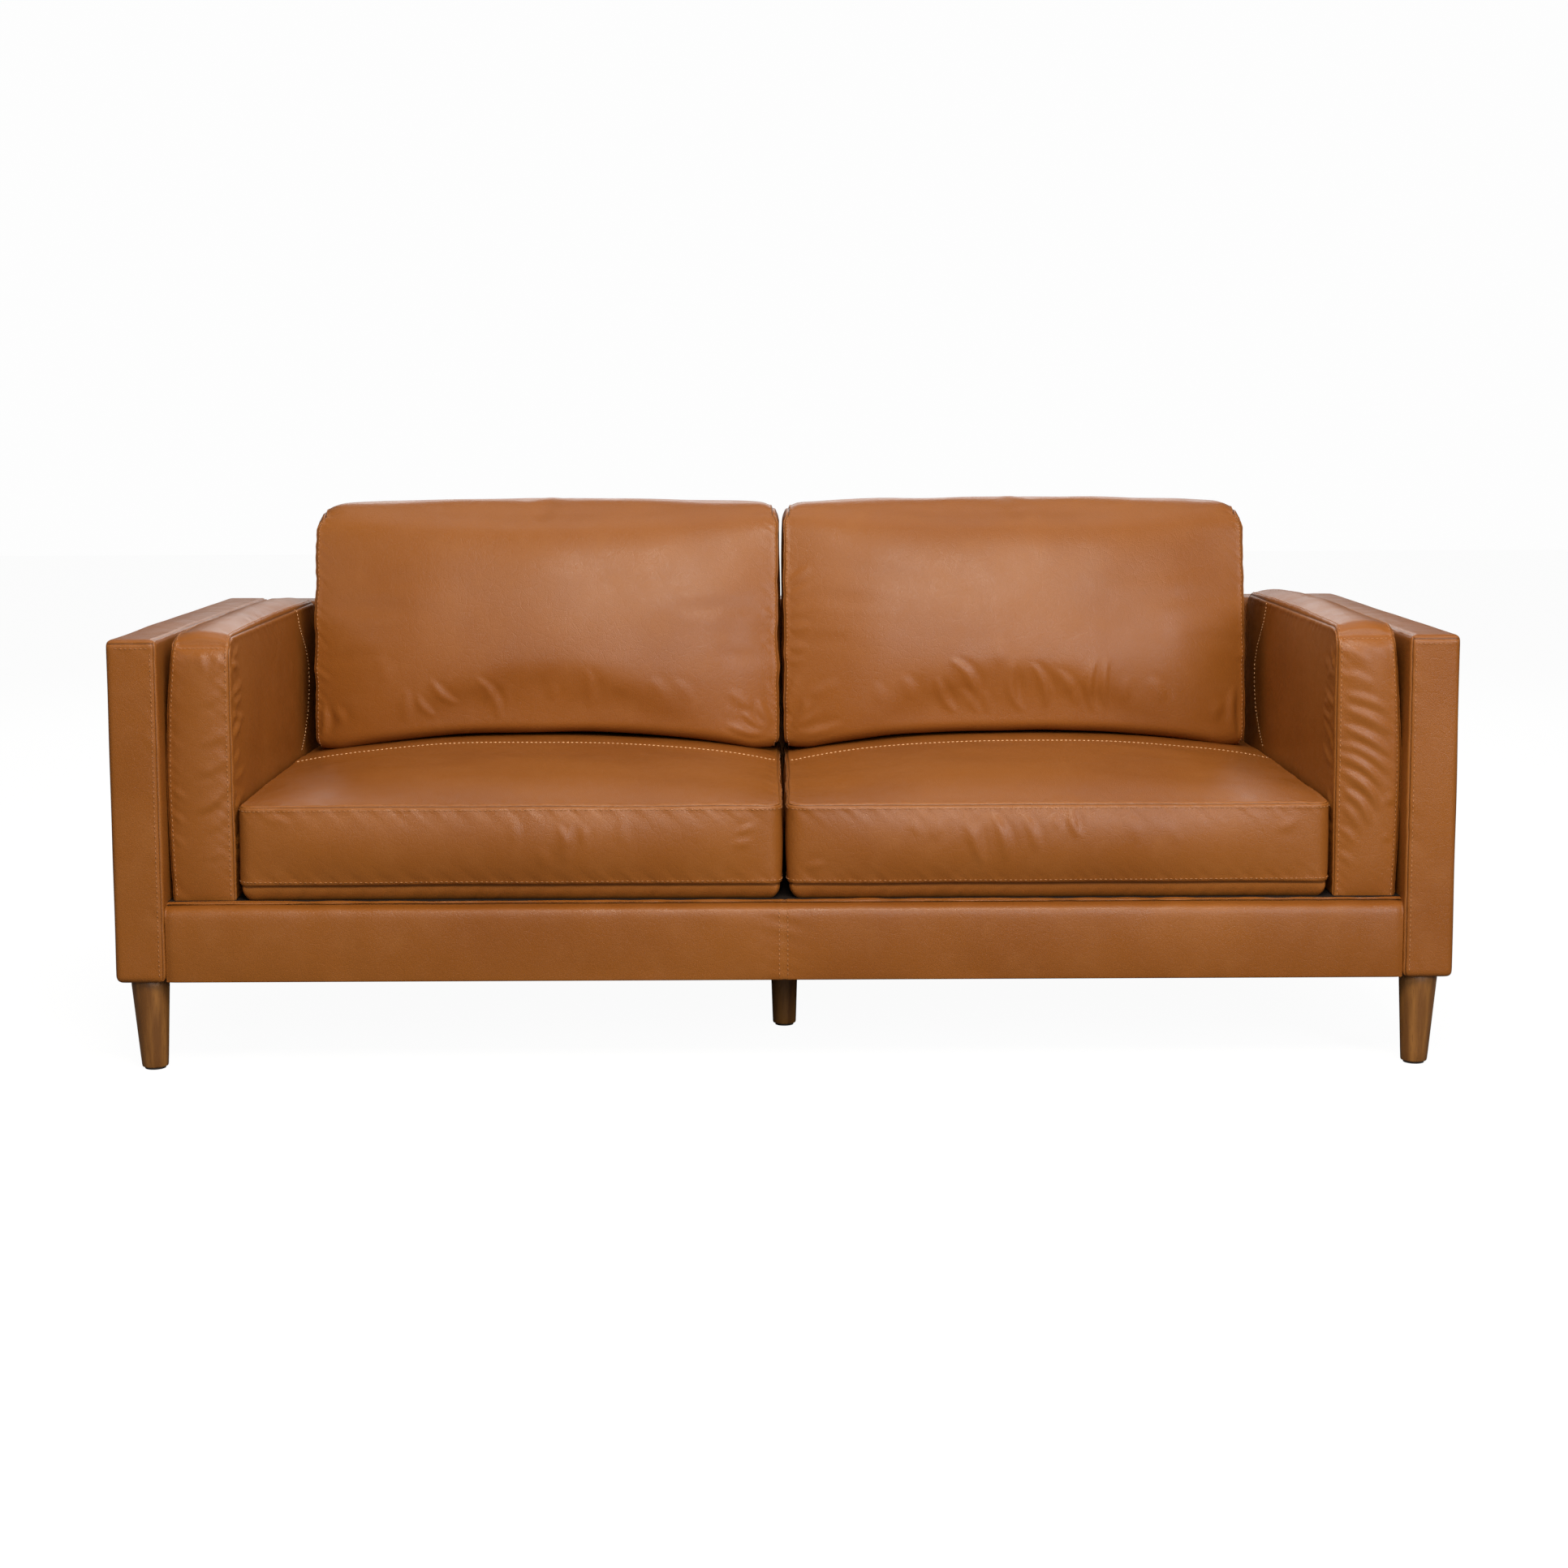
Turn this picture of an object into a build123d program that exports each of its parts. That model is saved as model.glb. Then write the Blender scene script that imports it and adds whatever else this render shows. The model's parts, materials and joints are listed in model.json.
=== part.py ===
"""Leather sofa on tapered wooden legs: timber frame, springs, upholstery and six loose cushions.

Millimetres. The origin is on the floor under the middle of the sofa, +Z is up and the front faces -Y.
"Left" is -X and "right" is +X, as seen by someone who stands in front of the sofa.
"""

import os

from build123d import *

os.makedirs("parts", exist_ok=True)

# Driving dimensions
width = 2050
depth = 880
base_height = 142  # floor to the underside of the upholstered box
deck_height = 264  # floor to the surface that the cushions stand on
arm_height = 670
arm_thickness = 76
back_thickness = 90
back_corner = 3
leather = 1.5
padding = 8.5
corner_radius = 12  # upright corners of the arms and back
top_edge_radius = 6
rail_setback = 4  # front rail leather behind the arm fronts
rail_edge_radius = 16
cover_short = 14  # the rail cover stops this far short of its timber's rear, clear of the spring clips
back_side_clear = 0.5

# Timber
board = 28
post = 45
panel = 5
centre_rail_width = 40
centre_rail_height = 60
bottom_rail_height = 63
corner_block_leg = 70
corner_block_height = 90
corner_block_raise = 10  # above the underside of the rails
rail_end_clear = 1

# Cushions
seat_gap = 8  # between the two seat cushions
seat_width = 834
seat_front = -420
cushion_rear = 340
seat_edge_height = 411
seat_crown_height = 447
crown_slope = 200  # from the cushion's edge in to its flat crown
seat_corner_radius = 30
back_width = 827
back_bottom = 449
back_top = 855
back_low_front = 100  # the face of a back cushion just above the seat
back_high_front = 190  # and just below its top edge
back_corner_radius = 50
back_toe = (20, 30)  # slope under the face of a back cushion, back and up
back_brow = (18, 12)  # first slope over its top edge, back and down from the top
back_brow_start = 45  # the brow starts this far below the top
back_top_slope = 50  # the brow ends this far behind the face
back_rear_edge = 14
pad_inner = 845
pad_thickness = 96
pad_front = -412
pad_rear = 344
pad_height = 690
pad_corner_radius = 16
pad_roll_radius = 32  # where the front turns over into the top
cushion_lift = 1  # between the deck and a cushion's underside
core_gap = 0.5  # between a cover's lining and its foam

# Legs
leg_inset = 43  # leg axis in from the arm's outer face and from the front
leg_top_radius = 29.5
leg_foot_radius = 20
leg_lean = 4  # the foot stands this much nearer the middle of the sofa
centre_leg_y = -133
centre_leg_top_radius = 23.5
centre_leg_foot_radius = 19
foot_edge_radius = 2
glide_thickness = 3
glide_margin = 4  # glide edge inside the foot's edge
bolt_radius = 4
bolt_clearance = 0.1
bolt_in_leg = 40
bolt_in_rail = 34
bolt_end_clear = 2  # a leg bolt stops this far from each end of its holes
arm_bolt_in_rail = 30
back_bolt_in_rail = 38
hole_end_clear = 6  # a hole goes this much past its bolt's end
head_radius = 8
head_thickness = 6

# Springs
wire_radius = 1.9
bend_radius = 15
bar_half = 12  # half of a spring's straight cross bar
springs_per_seat = 5
spring_spacing = 170
first_spring = 110
spring_end_clear = 7  # end bar in from the rail's edge
clip_size = (14, 10, 5.4)
deck_cloth_thickness = 2.5
dust_cloth_thickness = 1
cloth_clear = 1  # from a cloth's edge to what it meets
cloth_rear_clear = 0.5

# Webbing across the back frame
strap_width = 50
strap_thickness = 1
upright_straps_per_side = 4
cross_strap_heights = (300, 420, 540)
strap_end_clear = 5
first_strap = 0.75  # of a spacing, from the middle of the back
last_strap_margin = 0.5  # of a spacing

# Zips
zip_length = 700
zip_end_space = 10  # from the end of the chain to the closed slider
tape_width = 30
tape_thickness = 1
coil_width = 5
coil_height = 2
zip_clearance = 0.3
slider_length = 12
slider_wall = 2
tab_length = 26
tab_width = 8
tab_thickness = 1.2
seat_zip_height = 350
back_zip_height = 500

# Derived places
half_width = width / 2
front = -depth / 2
rear = depth / 2
arm_inner = half_width - arm_thickness
back_front = rear - back_thickness
shell = leather + padding
timber_bottom = base_height + leather
rail_front = front + rail_setback
rail_timber_front = rail_front + shell
rail_timber_rear = rail_timber_front + board
rail_timber_top = deck_height - shell
cover_rear_edge = rail_timber_rear - cover_short
rear_rail_front = back_front - board
side_rail_inner = arm_inner - board
back_half_width = arm_inner - back_side_clear
frame_y = (back_front + shell + 2 * strap_thickness, rear - shell)
wire_height = rail_timber_top + clip_size[2] / 2
leg_x = half_width - leg_inset
leg_y = rear - leg_inset
frame_bolt_height = 175
hole_radius = bolt_radius + bolt_clearance
arm_bolt_reach = board + shell + panel + arm_bolt_in_rail
back_bolt_reach = board + shell + back_bolt_in_rail
bottom_rail_top = timber_bottom + bottom_rail_height
arm_bolt_y = (-260, 220)
back_bolt_x = (-690, -230, 230, 690)


def keep(builder, label):
    """Labels a finished piece and writes it as its own STEP file."""
    builder.part.label = label
    export_step(builder.part, f"parts/{label}.step")


def block(x_limits, y_limits, z_limits, mode=Mode.ADD):
    """Puts a square-edged block between three pairs of limits into the piece being made."""
    spans = [sorted(limits) for limits in (x_limits, y_limits, z_limits)]
    middle = [(low + high) / 2 for low, high in spans]
    with Locations(tuple(middle)):
        Box(*[high - low for low, high in spans], mode=mode)


def rod(start, direction, radius, length, mode=Mode.ADD):
    """Puts a round rod from start along direction into the piece being made."""
    with Locations(Plane(origin=start, z_dir=direction)):
        Cylinder(radius, length, align=(Align.CENTER, Align.CENTER, Align.MIN), mode=mode)


def rounded_block(x_limits, y_limits, bottom, top, corner, edge):
    """A block with rounded upright corners and a rounded top edge."""
    low_x, high_x = sorted(x_limits)
    low_y, high_y = sorted(y_limits)
    with BuildPart() as solid:
        with BuildSketch(Plane.XY.offset(bottom)):
            with Locations(((low_x + high_x) / 2, (low_y + high_y) / 2)):
                RectangleRounded(high_x - low_x, high_y - low_y, corner)
        extrude(amount=top - bottom)
        fillet(solid.faces().sort_by(Axis.Z)[-1].edges(), edge)
    return solid.part


def arm_holes(side):
    """Drills the two frame-bolt holes of one arm through the piece being made."""
    for y in arm_bolt_y:
        start = (side * side_rail_inner, y, frame_bolt_height)
        rod(start, (side, 0, 0), hole_radius, arm_bolt_reach + hole_end_clear, Mode.SUBTRACT)


def leg_bolt_hole(x, y):
    """Drills the upright hole above a leg through the piece being made."""
    rod((x, y, timber_bottom), (0, 0, 1), hole_radius, bolt_in_rail, Mode.SUBTRACT)


def back_holes():
    """Drills the frame-bolt holes of the back through the piece being made."""
    for x in back_bolt_x:
        start = (x, rear_rail_front, frame_bolt_height)
        rod(start, (0, 1, 0), hole_radius, back_bolt_reach + hole_end_clear, Mode.SUBTRACT)


# ---------------------------------------------------------------- seat box


def make_seat_box():
    """Four rails round the seat, a centre rail from front to back, and glue blocks in the corners."""
    rail_x = (-arm_inner + rail_end_clear, arm_inner - rail_end_clear)
    with BuildPart() as front_rail:
        block(rail_x, (rail_timber_front, rail_timber_rear), (timber_bottom, rail_timber_top))
    keep(front_rail, "front_rail")

    with BuildPart() as rear_rail:
        block(rail_x, (rear_rail_front, back_front), (timber_bottom, rail_timber_top))
        back_holes()
    keep(rear_rail, "rear_rail")

    for name, side in (("left", -1), ("right", 1)):
        with BuildPart() as side_rail:
            block(
                (side * side_rail_inner, side * arm_inner),
                (rail_timber_rear, rear_rail_front),
                (timber_bottom, rail_timber_top),
            )
            arm_holes(side)
        keep(side_rail, f"{name}_side_rail")

    with BuildPart() as centre_rail:
        block(
            (-centre_rail_width / 2, centre_rail_width / 2),
            (rail_timber_rear, rear_rail_front),
            (timber_bottom, timber_bottom + centre_rail_height),
        )
        leg_bolt_hole(0, centre_leg_y)
    keep(centre_rail, "centre_rail")

    with BuildPart() as corner_blocks:
        for side in (-1, 1):
            for y, inward in ((rail_timber_rear, 1), (rear_rail_front, -1)):
                x = side * side_rail_inner
                with BuildSketch(Plane.XY.offset(timber_bottom + corner_block_raise)):
                    with BuildLine():
                        Polyline(
                            (x, y),
                            (x - side * corner_block_leg, y),
                            (x, y + inward * corner_block_leg),
                            close=True,
                        )
                    make_face()
                extrude(amount=corner_block_height)
    keep(corner_blocks, "corner_blocks")


# ---------------------------------------------------------------- suspension and deck


def make_springs():
    """Zigzag springs from the front rail to the rear rail, each held by a clip at both ends."""
    first_bar = rail_timber_rear - spring_end_clear
    last_bar = rear_rail_front + spring_end_clear
    bends = 2 * round((last_bar - first_bar) / (4 * bend_radius))
    step = (last_bar - first_bar) / bends
    with BuildPart() as spring:
        with BuildLine() as wire:
            for turn in range(bends + 1):
                y = first_bar + turn * step
                way = 1 if turn % 2 == 0 else -1
                Line((-way * bar_half, y, wire_height), (way * bar_half, y, wire_height))
                if turn < bends:
                    ThreePointArc(
                        (way * bar_half, y, wire_height),
                        (way * (bar_half + step / 2), y + step / 2, wire_height),
                        (way * bar_half, y + step, wire_height),
                    )
        with BuildSketch(Plane(origin=wire.line @ 0, z_dir=wire.line % 0)):
            Circle(wire_radius)
        sweep(path=wire.line)
    places = [
        (side * (first_spring + i * spring_spacing), 0, 0)
        for side in (-1, 1)
        for i in range(springs_per_seat)
    ]
    with BuildPart() as seat_springs:
        with Locations(*places):
            add(spring.part)
    keep(seat_springs, "seat_springs")

    clip_x, clip_y, clip_z = clip_size
    with BuildPart() as spring_clips:
        for x, _, _ in places:
            for y in (first_bar, last_bar):
                block(
                    (x - clip_x / 2, x + clip_x / 2),
                    (y - clip_y / 2, y + clip_y / 2),
                    (rail_timber_top, rail_timber_top + clip_z),
                )
                rod(
                    (x - clip_x, y, wire_height),
                    (1, 0, 0),
                    wire_radius + bolt_clearance,
                    2 * clip_x,
                    Mode.SUBTRACT,
                )
    keep(spring_clips, "spring_clips")


def make_deck():
    """The cloth that the cushions stand on, and the dust cover under the seat box."""
    with BuildPart() as deck_cloth:
        block(
            (-arm_inner + cloth_clear, arm_inner - cloth_clear),
            (cover_rear_edge, back_front - cloth_rear_clear),
            (deck_height - deck_cloth_thickness, deck_height),
        )
    keep(deck_cloth, "deck_cloth")

    with BuildPart() as dust_cover:
        block(
            (-arm_inner + cloth_clear, arm_inner - cloth_clear),
            (cover_rear_edge + cloth_clear, back_front - cloth_rear_clear),
            (timber_bottom - dust_cloth_thickness, timber_bottom),
        )
        rod(
            (0, centre_leg_y, timber_bottom - 2 * dust_cloth_thickness),
            (0, 0, 1),
            centre_leg_top_radius + cloth_clear,
            4 * dust_cloth_thickness,
            Mode.SUBTRACT,
        )
    keep(dust_cover, "dust_cover")


# ---------------------------------------------------------------- front rail upholstery


def rail_block(inset, bottom_inset):
    """The front rail's upholstered shape, open to the rear, drawn in by inset."""
    length = 2 * back_half_width
    radius = rail_edge_radius - inset
    low, high = base_height + bottom_inset, deck_height - inset
    face = rail_front + inset
    with BuildPart() as solid:
        with BuildSketch(Plane.YZ.offset(-back_half_width)):
            with BuildLine():
                Polyline((cover_rear_edge, low), (face, low), (face, high - radius))
                RadiusArc((face, high - radius), (face + radius, high), radius)
                Polyline((face + radius, high), (cover_rear_edge, high), (cover_rear_edge, low))
            make_face()
        extrude(amount=length)
    return solid.part


def make_front_rail_upholstery():
    """Padding on the front and top of the front rail, and the leather over it."""
    lining = rail_block(leather, leather)
    outside = rail_block(0, 0)
    with BuildPart() as front_rail_padding:
        add(lining)
        block(
            (-half_width, half_width),
            (rail_timber_front, rail_timber_rear),
            (base_height, rail_timber_top),
            Mode.SUBTRACT,
        )
    keep(front_rail_padding, "front_rail_padding")

    with BuildPart() as front_rail_cover:
        add(outside)
        add(lining, mode=Mode.SUBTRACT)
    keep(front_rail_cover, "front_rail_cover")


# ---------------------------------------------------------------- arms


def make_arm(name, side):
    """One arm: posts, rails and panels, padding over them, and the leather cover."""
    inner, outer = arm_inner + shell, half_width - shell
    timber_x = (side * (inner + panel), side * (outer - panel))
    frame_front, frame_rear, frame_top = front + shell, rear - shell, arm_height - shell

    for place, y_limits, leg_place in (
        ("front", (frame_front, frame_front + post), -leg_y),
        ("rear", (frame_rear - post, frame_rear), leg_y),
    ):
        with BuildPart() as arm_post:
            block(timber_x, y_limits, (timber_bottom, frame_top))
            leg_bolt_hole(side * leg_x, leg_place)
        keep(arm_post, f"{name}_arm_{place}_post")

    between_posts = (frame_front + post, frame_rear - post)
    with BuildPart() as top_rail:
        block(timber_x, between_posts, (frame_top - post, frame_top))
    keep(top_rail, f"{name}_arm_top_rail")

    with BuildPart() as bottom_rail:
        block(timber_x, between_posts, (timber_bottom, bottom_rail_top))
        arm_holes(side)
        for y in (-leg_y, leg_y):
            leg_bolt_hole(side * leg_x, y)
    keep(bottom_rail, f"{name}_arm_bottom_rail")

    with BuildPart() as arm_panels:
        for x_limits in ((inner, inner + panel), (outer - panel, outer)):
            block(
                (side * x_limits[0], side * x_limits[1]),
                (frame_front, frame_rear),
                (timber_bottom, frame_top),
            )
        arm_holes(side)
    keep(arm_panels, f"{name}_arm_panels")

    outside = rounded_block(
        (side * arm_inner, side * half_width),
        (front, rear),
        base_height,
        arm_height,
        corner_radius,
        top_edge_radius,
    )
    lining = rounded_block(
        (side * (arm_inner + leather), side * (half_width - leather)),
        (front + leather, rear - leather),
        base_height,
        arm_height - leather,
        corner_radius - leather,
        top_edge_radius - leather,
    )
    with BuildPart() as arm_padding:
        add(lining)
        block((side * inner, side * outer), (frame_front, frame_rear), (0, frame_top), Mode.SUBTRACT)
        block((side * arm_inner, side * half_width), (front, rear), (0, timber_bottom), Mode.SUBTRACT)
        arm_holes(side)
    keep(arm_padding, f"{name}_arm_padding")

    with BuildPart() as arm_cover:
        add(outside)
        add(lining, mode=Mode.SUBTRACT)
        arm_holes(side)
    keep(arm_cover, f"{name}_arm_cover")


# ---------------------------------------------------------------- back


def make_back():
    """The back frame between the arms, its webbing, padding and leather cover."""
    frame_x = back_half_width - shell
    frame_top = arm_height - shell
    with BuildPart() as back_top_rail:
        block((-frame_x, frame_x), frame_y, (frame_top - post, frame_top))
    keep(back_top_rail, "back_top_rail")

    with BuildPart() as back_bottom_rail:
        block((-frame_x, frame_x), frame_y, (timber_bottom, bottom_rail_top))
        back_holes()
    keep(back_bottom_rail, "back_bottom_rail")

    with BuildPart() as back_posts:
        for x in (-frame_x + post / 2, 0, frame_x - post / 2):
            block((x - post / 2, x + post / 2), frame_y, (bottom_rail_top, frame_top - post))
    keep(back_posts, "back_posts")

    straps_front = frame_y[0] - 2 * strap_thickness
    strap_spacing = (frame_x - post) / (upright_straps_per_side + last_strap_margin)
    with BuildPart() as back_webbing:
        for side in (-1, 1):
            for i in range(upright_straps_per_side):
                x = side * (i + first_strap) * strap_spacing
                block(
                    (x - strap_width / 2, x + strap_width / 2),
                    (straps_front + strap_thickness, frame_y[0]),
                    (timber_bottom + post, frame_top - strap_end_clear),
                )
        for z in cross_strap_heights:
            block(
                (-frame_x + strap_end_clear, frame_x - strap_end_clear),
                (straps_front, straps_front + strap_thickness),
                (z - strap_width / 2, z + strap_width / 2),
            )
    keep(back_webbing, "back_webbing")

    outside = rounded_block(
        (-back_half_width, back_half_width),
        (back_front, rear),
        base_height,
        arm_height,
        back_corner,
        top_edge_radius,
    )
    lining = rounded_block(
        (-back_half_width + leather, back_half_width - leather),
        (back_front + leather, rear - leather),
        base_height,
        arm_height - leather,
        back_corner - leather,
        top_edge_radius - leather,
    )
    with BuildPart() as back_padding:
        add(lining)
        block((-frame_x, frame_x), (back_front + shell, rear - shell), (0, frame_top), Mode.SUBTRACT)
        block((-half_width, half_width), (0, rear), (0, timber_bottom), Mode.SUBTRACT)
        back_holes()
    keep(back_padding, "back_padding")

    with BuildPart() as back_cover:
        add(outside)
        add(lining, mode=Mode.SUBTRACT)
        back_holes()
    keep(back_cover, "back_cover")


# ---------------------------------------------------------------- legs and fasteners


def make_leg(label, top_centre, foot_centre, top_radius, foot_radius):
    """A tapered round leg with a rounded foot edge and a hole for its bolt."""
    with BuildPart() as leg:
        with BuildSketch(Plane.XY.offset(glide_thickness)):
            with Locations(foot_centre):
                Circle(foot_radius)
        with BuildSketch(Plane.XY.offset(timber_bottom)):
            with Locations(top_centre):
                Circle(top_radius)
        loft()
        fillet(leg.faces().sort_by(Axis.Z)[0].edges(), foot_edge_radius)
        hole_start = (*top_centre, timber_bottom)
        rod(hole_start, (0, 0, -1), hole_radius, bolt_in_leg, Mode.SUBTRACT)
    keep(leg, label)


def make_legs():
    """Four corner legs, the centre leg, their bolts, and the glides under them."""
    corners = [
        (f"{side_name}_{end_name}_leg", side * leg_x, side * (leg_x - leg_lean), end * leg_y)
        for side_name, side in (("left", -1), ("right", 1))
        for end_name, end in (("front", -1), ("rear", 1))
    ]
    for label, top_x, foot_x, y in corners:
        make_leg(label, (top_x, y), (foot_x, y), leg_top_radius, leg_foot_radius)
    centre = (0, centre_leg_y)
    make_leg("centre_leg", centre, centre, centre_leg_top_radius, centre_leg_foot_radius)

    tops = [(top_x, y) for _, top_x, _, y in corners] + [centre]
    feet = [(foot_x, y, leg_foot_radius) for _, _, foot_x, y in corners]
    feet.append((0, centre_leg_y, centre_leg_foot_radius))
    with BuildPart() as leg_bolts:
        for x, y in tops:
            start = (x, y, timber_bottom - bolt_in_leg + bolt_end_clear)
            rod(start, (0, 0, 1), bolt_radius, bolt_in_leg + bolt_in_rail - 2 * bolt_end_clear)
    keep(leg_bolts, "leg_bolts")

    with BuildPart() as leg_glides:
        for x, y, radius in feet:
            rod((x, y, 0), (0, 0, 1), radius - glide_margin, glide_thickness)
    keep(leg_glides, "leg_glides")


def make_frame_bolts():
    """The bolts that hold the arms and the back to the seat box, with their heads inside it."""
    with BuildPart() as frame_bolts:
        for side in (-1, 1):
            for y in arm_bolt_y:
                start = (side * side_rail_inner, y, frame_bolt_height)
                rod(start, (side, 0, 0), bolt_radius, arm_bolt_reach)
                rod(start, (-side, 0, 0), head_radius, head_thickness)
        for x in back_bolt_x:
            start = (x, rear_rail_front, frame_bolt_height)
            rod(start, (0, 1, 0), bolt_radius, back_bolt_reach)
            rod(start, (0, -1, 0), head_radius, head_thickness)
    keep(frame_bolts, "frame_bolts")


# ---------------------------------------------------------------- loose cushions


def seat_shape(side, inset):
    """A seat cushion: upright boxed sides, rounded in plan, and a top that slopes up to a flat crown."""
    depth_out = cushion_rear - seat_front
    middle = (side * (seat_gap + seat_width) / 2, (seat_front + cushion_rear) / 2)
    bottom = deck_height + cushion_lift + inset
    edge, crown = seat_edge_height - inset, seat_crown_height - inset
    corner = seat_corner_radius - inset
    with BuildPart() as solid:
        with BuildSketch(Plane.XY.offset(bottom)):
            with Locations(middle):
                RectangleRounded(seat_width - 2 * inset, depth_out - 2 * inset, corner)
        extrude(amount=edge - bottom)
        with BuildSketch(Plane.XY.offset(edge)):
            with Locations(middle):
                RectangleRounded(seat_width - 2 * inset, depth_out - 2 * inset, corner)
        with BuildSketch(Plane.XY.offset(crown)):
            with Locations(middle):
                RectangleRounded(seat_width - 2 * crown_slope, depth_out - 2 * crown_slope, corner)
        loft(ruled=True)
    return solid.part


def back_shape(side, inset):
    """A back cushion: a leaning front, an upright rear, eased edges and rounded top corners."""
    low_x, high_x = seat_gap / 2 + inset, seat_gap / 2 + back_width - inset
    rear_face = cushion_rear - inset
    bottom, top = back_bottom + inset, back_top - inset
    low_front, high_front = back_low_front + inset, back_high_front + inset
    with BuildPart() as solid:
        with BuildSketch(Plane.YZ.offset(side * low_x)):
            with BuildLine():
                Polyline(
                    (rear_face, bottom),
                    (low_front + back_toe[0], bottom),
                    (low_front, bottom + back_toe[1]),
                    (high_front, top - back_brow_start),
                    (high_front + back_brow[0], top - back_brow[1]),
                    (high_front + back_top_slope, top),
                    (rear_face - back_rear_edge, top),
                    (rear_face, top - back_rear_edge),
                    close=True,
                )
            make_face()
        extrude(amount=side * (high_x - low_x))
        with BuildSketch(Plane.XZ.offset(-rear_face)) as front_outline:
            with Locations((side * (low_x + high_x) / 2, (bottom + top) / 2)):
                Rectangle(high_x - low_x, top - bottom)
            fillet(front_outline.vertices().sort_by(Axis.Y)[2:], back_corner_radius - inset)
        extrude(amount=rear_face - back_low_front, mode=Mode.INTERSECT)
    return solid.part


def pad_shape(side, inset):
    """An arm pad: a tall narrow cushion with rounded upright corners and a rolled top front corner."""
    low_x, high_x = pad_inner + inset, pad_inner + pad_thickness - inset
    low_y, high_y = pad_front + inset, pad_rear - inset
    bottom, top = deck_height + cushion_lift + inset, pad_height - inset
    with BuildPart() as solid:
        with BuildSketch(Plane.XY.offset(bottom)):
            with Locations((side * (low_x + high_x) / 2, (low_y + high_y) / 2)):
                RectangleRounded(high_x - low_x, high_y - low_y, pad_corner_radius - inset)
        extrude(amount=top - bottom)
        with BuildSketch(Plane.YZ.offset(side * low_x)) as side_outline:
            with Locations(((low_y + high_y) / 2, (bottom + top) / 2)):
                Rectangle(high_y - low_y, top - bottom)
            fillet(side_outline.vertices().group_by(Axis.Y)[-1], pad_roll_radius - inset)
        extrude(amount=side * (high_x - low_x), mode=Mode.INTERSECT)
    return solid.part


def make_cushion(label, shape, side):
    """A leather cover, hollow inside, and the foam core that fills it."""
    outside, lining, filling = shape(side, 0), shape(side, leather), shape(side, leather + core_gap)
    with BuildPart() as cover:
        add(outside)
        add(lining, mode=Mode.SUBTRACT)
    keep(cover, f"{label}_cover")
    with BuildPart() as core:
        add(filling)
    keep(core, f"{label}_core")


def make_zip(label, side, middle_x, height):
    """A zip across a cushion's rear face: tape with its coil, and a slider with a tab at the outer end."""
    face = cushion_rear
    ridge = face + tape_thickness + coil_height
    with BuildPart() as chain:
        block(
            (middle_x - zip_length / 2, middle_x + zip_length / 2),
            (face, face + tape_thickness),
            (height - tape_width / 2, height + tape_width / 2),
        )
        block(
            (middle_x - zip_length / 2, middle_x + zip_length / 2),
            (face + tape_thickness, ridge),
            (height - coil_width / 2, height + coil_width / 2),
        )
    keep(chain, f"{label}_zip_chain")

    outer_end = middle_x + side * (zip_length / 2 - zip_end_space)
    x_limits = (outer_end, outer_end - side * slider_length)
    half_gap = coil_width / 2 + zip_clearance
    plate = ridge + zip_clearance
    with BuildPart() as slider:
        block(
            x_limits,
            (face + tape_thickness + zip_clearance, plate + slider_wall),
            (height - half_gap - slider_wall, height + half_gap + slider_wall),
        )
        block(x_limits, (face, plate), (height - half_gap, height + half_gap), Mode.SUBTRACT)
        tab_middle = outer_end - side * slider_length / 2
        tab_top = height + half_gap
        block(
            (tab_middle - tab_width / 2, tab_middle + tab_width / 2),
            (plate + slider_wall, plate + slider_wall + tab_thickness),
            (tab_top - tab_length, tab_top),
        )
    keep(slider, f"{label}_zip_slider")


make_seat_box()
make_springs()
make_deck()
make_front_rail_upholstery()
make_back()
make_legs()
make_frame_bolts()
for side_name, side_sign in (("left", -1), ("right", 1)):
    make_arm(side_name, side_sign)
    make_cushion(f"{side_name}_seat", seat_shape, side_sign)
    make_cushion(f"{side_name}_back", back_shape, side_sign)
    make_cushion(f"{side_name}_arm_pad", pad_shape, side_sign)
    make_zip(f"{side_name}_seat", side_sign, side_sign * (seat_gap + seat_width) / 2, seat_zip_height)
    make_zip(f"{side_name}_back", side_sign, side_sign * (seat_gap + back_width) / 2, back_zip_height)
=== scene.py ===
"""Tan leather sofa on wooden legs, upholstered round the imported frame.

Lengths are in metres. +X is right, -Y is the front and +Z is up, with the floor at zero.
"""

import json
import math
import random

import bmesh
import bpy
import numpy as np
from bpy.props import FloatProperty, FloatVectorProperty, IntProperty, PointerProperty
from mathutils import Matrix, Vector
from mathutils.bvhtree import BVHTree
from mathutils.geometry import barycentric_transform


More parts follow.
